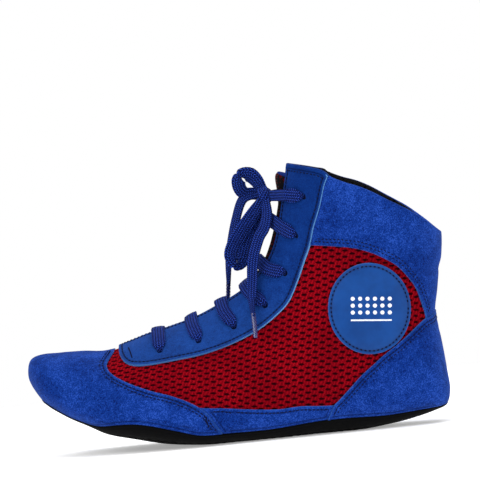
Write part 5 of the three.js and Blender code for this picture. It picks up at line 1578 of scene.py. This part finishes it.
# linings
SPLIT = [[20, 112], [200, 55]]
for side, nm in ((-1, "lateral"), (1, "medial")):
    c = CUR[side]
    sp = dom_line(SPLIT, side, 2.0); sp = sp[(np.abs(sp[:, 1]) > 1e-6)]
    k1 = np.nonzero(np.abs(sp[:, 1]) > 1 - 1e-6)[0]
    if len(k1): sp = sp[:k1[0] + 1]
    thr = c["throat"].copy(); grow_ = throat_edge(side, 13.0, 28.0, 3.0)
    rim = trim(c["rim"], None, None); rim = rim[np.abs(rim[:, 1]) > 1e-6]
    i0 = cross2(grow_, sp); i1 = cross2(grow_, rim)
    g_ = trim(grow_, i0, i1); sp2 = trim(sp, i0, None); rm2 = trim(rim, i1, None)
    pb = side * (1 - 0.0016)
    sp2 = sp2.copy(); sp2[-1, 1] = pb; rm2 = rm2.copy(); rm2[-1, 1] = pb
    back = np.stack([np.linspace(sp2[-1, 0], rm2[-1, 0], 60), np.full(60, pb)], 1)
    out = np.vstack([g_[::-1], sp2[1:], back[1:-1], rm2[::-1][:-1]])
    ob = panel(f"lining_shaft_{nm}_knit", out, "lining", (-4.2, -2.9), h=2.6, step=1.6, rows=(0.5, 1.4, 2.6), rnd=0.5)
    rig.replaces(ob, f"lining_shaft_{nm}"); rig.slot(ob, "lining_mesh")
# the foot of the lining: one bag, open above the instep
sp_l = dom_line(SPLIT, -1, 2.0); sp_m = dom_line(SPLIT, 1, 2.0)
gl_, gm_ = throat_edge(-1, 6.9, 17.0, 3.0), throat_edge(1, 6.9, 17.0, 3.0)
K_ = 9


class Bag:
    """like Polar, out to the heel"""
    @staticmethod
    def up(D):
        r = np.hypot(D[:, 0], D[:, 1]); return r / K_, np.arctan2(D[:, 1], D[:, 0]) / math.pi
    @staticmethod
    def flat(u, p): return np.stack([np.asarray(u) * K_ * np.cos(np.asarray(p) * math.pi), np.asarray(u) * K_ * np.sin(np.asarray(p) * math.pi)], 1)


def split_line(side):
    L = dom_line(SPLIT, side, 2.0); q = np.abs(L[:, 1])
    L = L[q > 1e-6]; k1 = np.nonzero(np.abs(L[:, 1]) > 1 - 1e-6)[0]
    return L[:k1[0] + 1] if len(k1) else L


sl, sm = split_line(-1), split_line(1)
il, im_ = cross2(gl_, sl), cross2(gm_, sm)
out = np.vstack([trim(gl_, None, il), trim(sl, il, None)[1:], trim(sm, im_, None)[::-1][1:], trim(gm_, None, im_)[::-1][1:]])
ob = panel("lining_foot_knit", out, "lining", (-4.2, -2.9), dom=Bag, h=3.0, step=2.0, rows=(0.6, 1.8), rnd=0.5)
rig.replaces(ob, "lining_foot"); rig.slot(ob, "lining_mesh")


# ------------------------------------------------------------------ padded tongue
def p_at_y(u, y):
    """p whose form point lies y to the side"""
    side = 1 if y >= 0 else -1
    qs = np.linspace(0, 0.62, 140)
    yy = np.abs(form(np.full(140, u), side * qs)[:, 1])
    return side * float(np.interp(abs(y), yy, qs))


TW = np.array([[-60,12],[-46,17],[-30,21],[0,23],[25,23],[40,22],[55,21],[70,21]], float)
THA = np.array(THROAT)
_ut = 20.0
while _ut < 28.5 and float(cr(TOP, np.array(_ut))[1]) < 176.0: _ut += 0.05
U_TOP = _ut


def tongue_grid(nu, nv, thin=1.0, lo=6.7, hi=None):
    hi = hi or U_TOP
    us = np.linspace(lo, hi, nu); vs = np.linspace(-1, 1, nv)
    out, inn = np.zeros((nu, nv, 3)), np.zeros((nu, nv, 3))
    for i, u in enumerate(us):
        x = float(cr(TOP, np.array(u))[0])
        w = float(np.interp(x, TW[:, 0], TW[:, 1]))
        endf = np.clip((U_TOP - u) / 1.3, 0, 1)
        w -= 4.5 * (1 - endf) ** 2
        h = max(float(np.interp(x, THA[:, 0], THA[:, 1])), 4) * 0.5
        opn = min(1, max(0, (x + 47) / 7))
        ps = np.array([p_at_y(u, v * w) for v in vs]); y = vs * w
        fwd = np.clip((u - 23.4) / 2.6, 0, 1) ** 1.5
        bulge = 3.5 * opn * np.exp(-(y * y) / (h * h)) + 4.6 * fwd * np.exp(-(y * y) / (11.5 * 11.5))
        th = 3.6 * (1 - 0.55 * np.abs(vs) ** 4) * thin
        mid = -5.9 + bulge - 1.8
        uu = np.full(nv, u)
        out[i] = form(uu, ps) + frame_at(uu, ps) * (mid + th / 2)[:, None] + PLACE
        inn[i] = form(uu, ps) + frame_at(uu, ps) * (mid - th / 2)[:, None] + PLACE
    return us, vs, out, inn


def slab(out, inn):
    nu, nv = out.shape[:2]
    V = np.vstack([out.reshape(-1, 3), inn.reshape(-1, 3)])
    n = nu * nv; F = []
    for i in range(nu - 1):
        for j in range(nv - 1):
            a, b, c_, d = i * nv + j, i * nv + j + 1, (i + 1) * nv + j + 1, (i + 1) * nv + j
            F.append((a, b, c_, d)); F.append((d + n, c_ + n, b + n, a + n))
    for i in range(nu - 1):
        a, d = i * nv, (i + 1) * nv; F.append((d, d + n, a + n, a))
        a, d = i * nv + nv - 1, (i + 1) * nv + nv - 1; F.append((a, a + n, d + n, d))
    for j in range(nv - 1):
        a, b = j, j + 1; F.append((a + n, b + n, b, a))
        a, b = (nu - 1) * nv + j, (nu - 1) * nv + j + 1; F.append((a, b, b + n, a + n))
    return V, F


us, vs, out, inn = tongue_grid(76, 23, 0.62)
V, F = slab(out, inn)
tongue = make("tongue_padded", V, F, "tongue", {"rim": np.zeros(len(V))})
fix_normals(tongue)
start_co = np.array([v.co[:] for v in tongue.data.vertices])
nu, nv = out.shape[:2]
# quilting: edges and two long seams hold, the rest swells
hold = np.zeros((nu, nv)); hold[:, 0] = hold[:, -1] = 1; hold[0] = hold[-1] = 1
hold[:, 6] = hold[:, 16] = 0.9
hold = np.concatenate([hold.reshape(-1), hold.reshape(-1)])
g = tongue.vertex_groups.new(name="seams")
for i, w in enumerate(hold):
    if w > 0: g.add([i], float(w), "REPLACE")
if not QUICK:
    cl_ = tongue.modifiers.new("swell", "CLOTH"); st_ = cl_.settings
    st_.quality = 6; st_.mass = 0.15; st_.tension_stiffness = 12; st_.compression_stiffness = 12; st_.shear_stiffness = 4; st_.bending_stiffness = 0.3
    st_.use_pressure = True; st_.uniform_pressure_force = 4.0
    st_.vertex_group_mass = "seams"; st_.pin_stiffness = 1.0
    st_.effector_weights.gravity = 0.0
    cl_.collision_settings.use_collision = False
    sc = bpy.context.scene; sc.frame_start, sc.frame_end = 1, 20
    cl_.point_cache.frame_start, cl_.point_cache.frame_end = 1, 20
    for f_ in range(1, 21): sc.frame_set(f_)
    ev = tongue.evaluated_get(bpy.context.evaluated_depsgraph_get())
    got = np.array([v.co[:] for v in ev.data.vertices])
    sc.frame_set(1)
    tongue.modifiers.remove(cl_)
else:
    got = start_co.copy()
d_ = got - start_co
ln = np.linalg.norm(d_, axis=1)
if not np.isfinite(ln).all(): d_[:] = 0; ln[:] = 0
n_out = nu * nv
usual = max(float(np.median(ln[hold < 0.5])), 1e-9)
# the filling lets it swell by so much and no more
lim = np.where(np.arange(len(ln)) < n_out, 0.00105, 0.0016)
scale_ = np.minimum(1.0, lim / np.maximum(ln, 1e-9))
d_ = d_ * scale_[:, None]
if usual < 2e-4:
    # a light shell barely moved: swell it along its normals between the seams instead
    nr = np.array([v.normal[:] for v in tongue.data.vertices]); vv = np.tile(np.abs(np.tile(vs, nu)), 2)
    lane = np.sin(np.clip(np.tile(np.tile(np.minimum(np.abs(np.arange(nv) - 6), np.abs(np.arange(nv) - 16)) / 5.0, nu), 2), 0, 1) * math.pi / 2)
    d_ = nr * (lane * (1 - vv ** 6) * lim)[:, None]
print("tongue swell: usual move mm", usual * 1000)
for i, v in enumerate(tongue.data.vertices): v.co = Vector(start_co[i] + d_[i])
sub = tongue.modifiers.new("round", "SUBSURF"); sub.levels = sub.render_levels = 1
bpy.context.view_layer.objects.active = tongue
bpy.ops.object.select_all(action="DESELECT"); tongue.select_set(True)
bpy.ops.object.modifier_apply(modifier="round")
tongue.vertex_groups.clear()
tongue.data.polygons.foreach_set("use_smooth", [True] * len(tongue.data.polygons))
_t = np.array([0.67, 0, 0.742]); _p = np.array([16.5, 2.22, 103.0])
B0, B1 = mm2m(_p - _t * 9), mm2m(_p + _t * 9)
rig.blend(tongue, "boot", "tongue", start=B0, end=B1)
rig.replaces(tongue, "tongue_lower", "tongue_upper"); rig.slot(tongue, "tongue_mesh")
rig.padded(tongue, fill=0.55)

# bound edge of the tongue, down both sides and over the top
mid = (out + inn) / 2
edge = np.vstack([mid[14:, 0], mid[-1, 1:-1], mid[14:, -1][::-1]])
E_ = smooth(edge, 1.1)
T = np.gradient(E_, axis=0); T /= np.linalg.norm(T, axis=1, keepdims=True)
cen = mid[:, nv // 2]; ct = tree3(cen)
inw = np.array([cen[ct.find(v)[1]] for v in E_]) - E_
inw -= (inw * T).sum(1, keepdims=True) * T; inw /= np.linalg.norm(inw, axis=1, keepdims=True)
for _ in range(6): inw[1:-1] = (inw[:-2] + inw[1:-1] + inw[2:]) / 3
inw /= np.linalg.norm(inw, axis=1, keepdims=True)
nn_ = np.cross(T, inw)
sec = oval(2.0, 1.55, 0.9, 0.0, 16, 0.8)
V = [E_[i] + inw[i] * a * (1 + 0.02 * math.sin(i * 1.7)) + nn_[i] * b for i in range(len(E_)) for a, b in sec]
K = len(sec)
F = [(i * K + k, i * K + (k + 1) % K, (i + 1) * K + (k + 1) % K, (i + 1) * K + k) for i in range(len(E_) - 1) for k in range(K)] + [tuple(reversed(range(K))), tuple((len(E_) - 1) * K + k for k in range(K))]
bind = make("tongue_binding", V, F, "tape"); fix_normals(bind)
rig.blend(bind, "boot", "tongue", start=B0, end=B1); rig.slot(bind, "tongue_mesh")


# ------------------------------------------------------------------ inside: sock, foam, and the stiff parts carried over
def inset_outline(o, d, dom=Flat):
    D = even(dom.flat(o[:, 0], o[:, 1]), dom, 1.5)
    if area2(D) < 0: D = D[::-1]
    P0_ = form(*dom.up(D)); T0 = tree3(P0_); G = D + inward(D, dom) * d
    gP = form(*dom.up(G)); keep = np.array([T0.find(v)[2] for v in gP]) > 0.9 * d
    u, p = dom.up(G[keep]); return np.stack([u, p], 1)


for side, nm in ((-1, "lateral"), (1, "medial")):
    c = CUR[side]
    low = trim(c["low"], c["L0"], c["L1"]); he = trim(c["heel"], c["L1"], None); rim = trim(c["rim"], c["R0"], None); stay = trim(c["stay"], c["L0"], c["R0"])
    pb = side * 0.999
    he = he.copy(); he[-1, 1] = pb; rim = rim.copy(); rim[-1, 1] = pb
    back = np.stack([np.linspace(he[-1, 0], rim[-1, 0], 60), np.full(60, pb)], 1)
    o_ = inset_outline(np.vstack([low, he[1:], back[1:-1], rim[::-1], stay[::-1][1:-1]]), 6.2)
    ob = panel(f"collar_foam_{nm}_sheet", o_, "foam", (-1.65, -2.65), h=2.6, step=1.6, rows=(0.5, 1.4), rnd=0.4)
    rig.replaces(ob, f"collar_foam_{nm}"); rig.slot(ob, "foam"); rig.padded(ob, fill=0.3)

src_ = frame["nodes"]["sock_liner"]
sock = bpy.data.objects.new("sock_liner_cut", src_.data.copy()); bpy.context.scene.collection.objects.link(sock)
rm = sock.modifiers.new("r", "REMESH"); rm.mode = "VOXEL"; rm.voxel_size = 0.0016 if QUICK else 0.0011
smo = sock.modifiers.new("s", "SMOOTH"); smo.factor = 0.5; smo.iterations = 6
bpy.context.view_layer.objects.active = sock; bpy.ops.object.select_all(action="DESELECT"); sock.select_set(True)
bpy.ops.object.modifier_apply(modifier="r"); bpy.ops.object.modifier_apply(modifier="s")
sock.data.materials.clear(); sock.data.materials.append(MATS["sock"])
sock.data.polygons.foreach_set("use_smooth", [True] * len(sock.data.polygons)); sock.data.polygons.foreach_set("material_index", [0] * len(sock.data.polygons))
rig.ride(sock, "boot"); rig.replaces(sock, "sock_liner"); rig.slot(sock, "sock_fabric")

for n_, mt in (("toe_puff", "stiff"), ("heel_stiffener", "stiff"), ("eyelet_reinforcement_lateral", "tapeing"), ("eyelet_reinforcement_medial", "tapeing"), ("insole_board", "board")):
    me = frame["nodes"][n_].data
    for k in range(max(1, len(me.materials))):
        if k < len(me.materials): me.materials[k] = MATS[mt]
        else: me.materials.append(MATS[mt])

for _n, (V_, F_) in list(stores.items()):
    if V_:
        ob = make(f"stitching_{_n}", V_, F_, "thread"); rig.ride(ob, "boot")

json.dump({"cad": CAD_BOX, "visual": [list(v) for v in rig.bounds()]}, open("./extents.json", "w"))
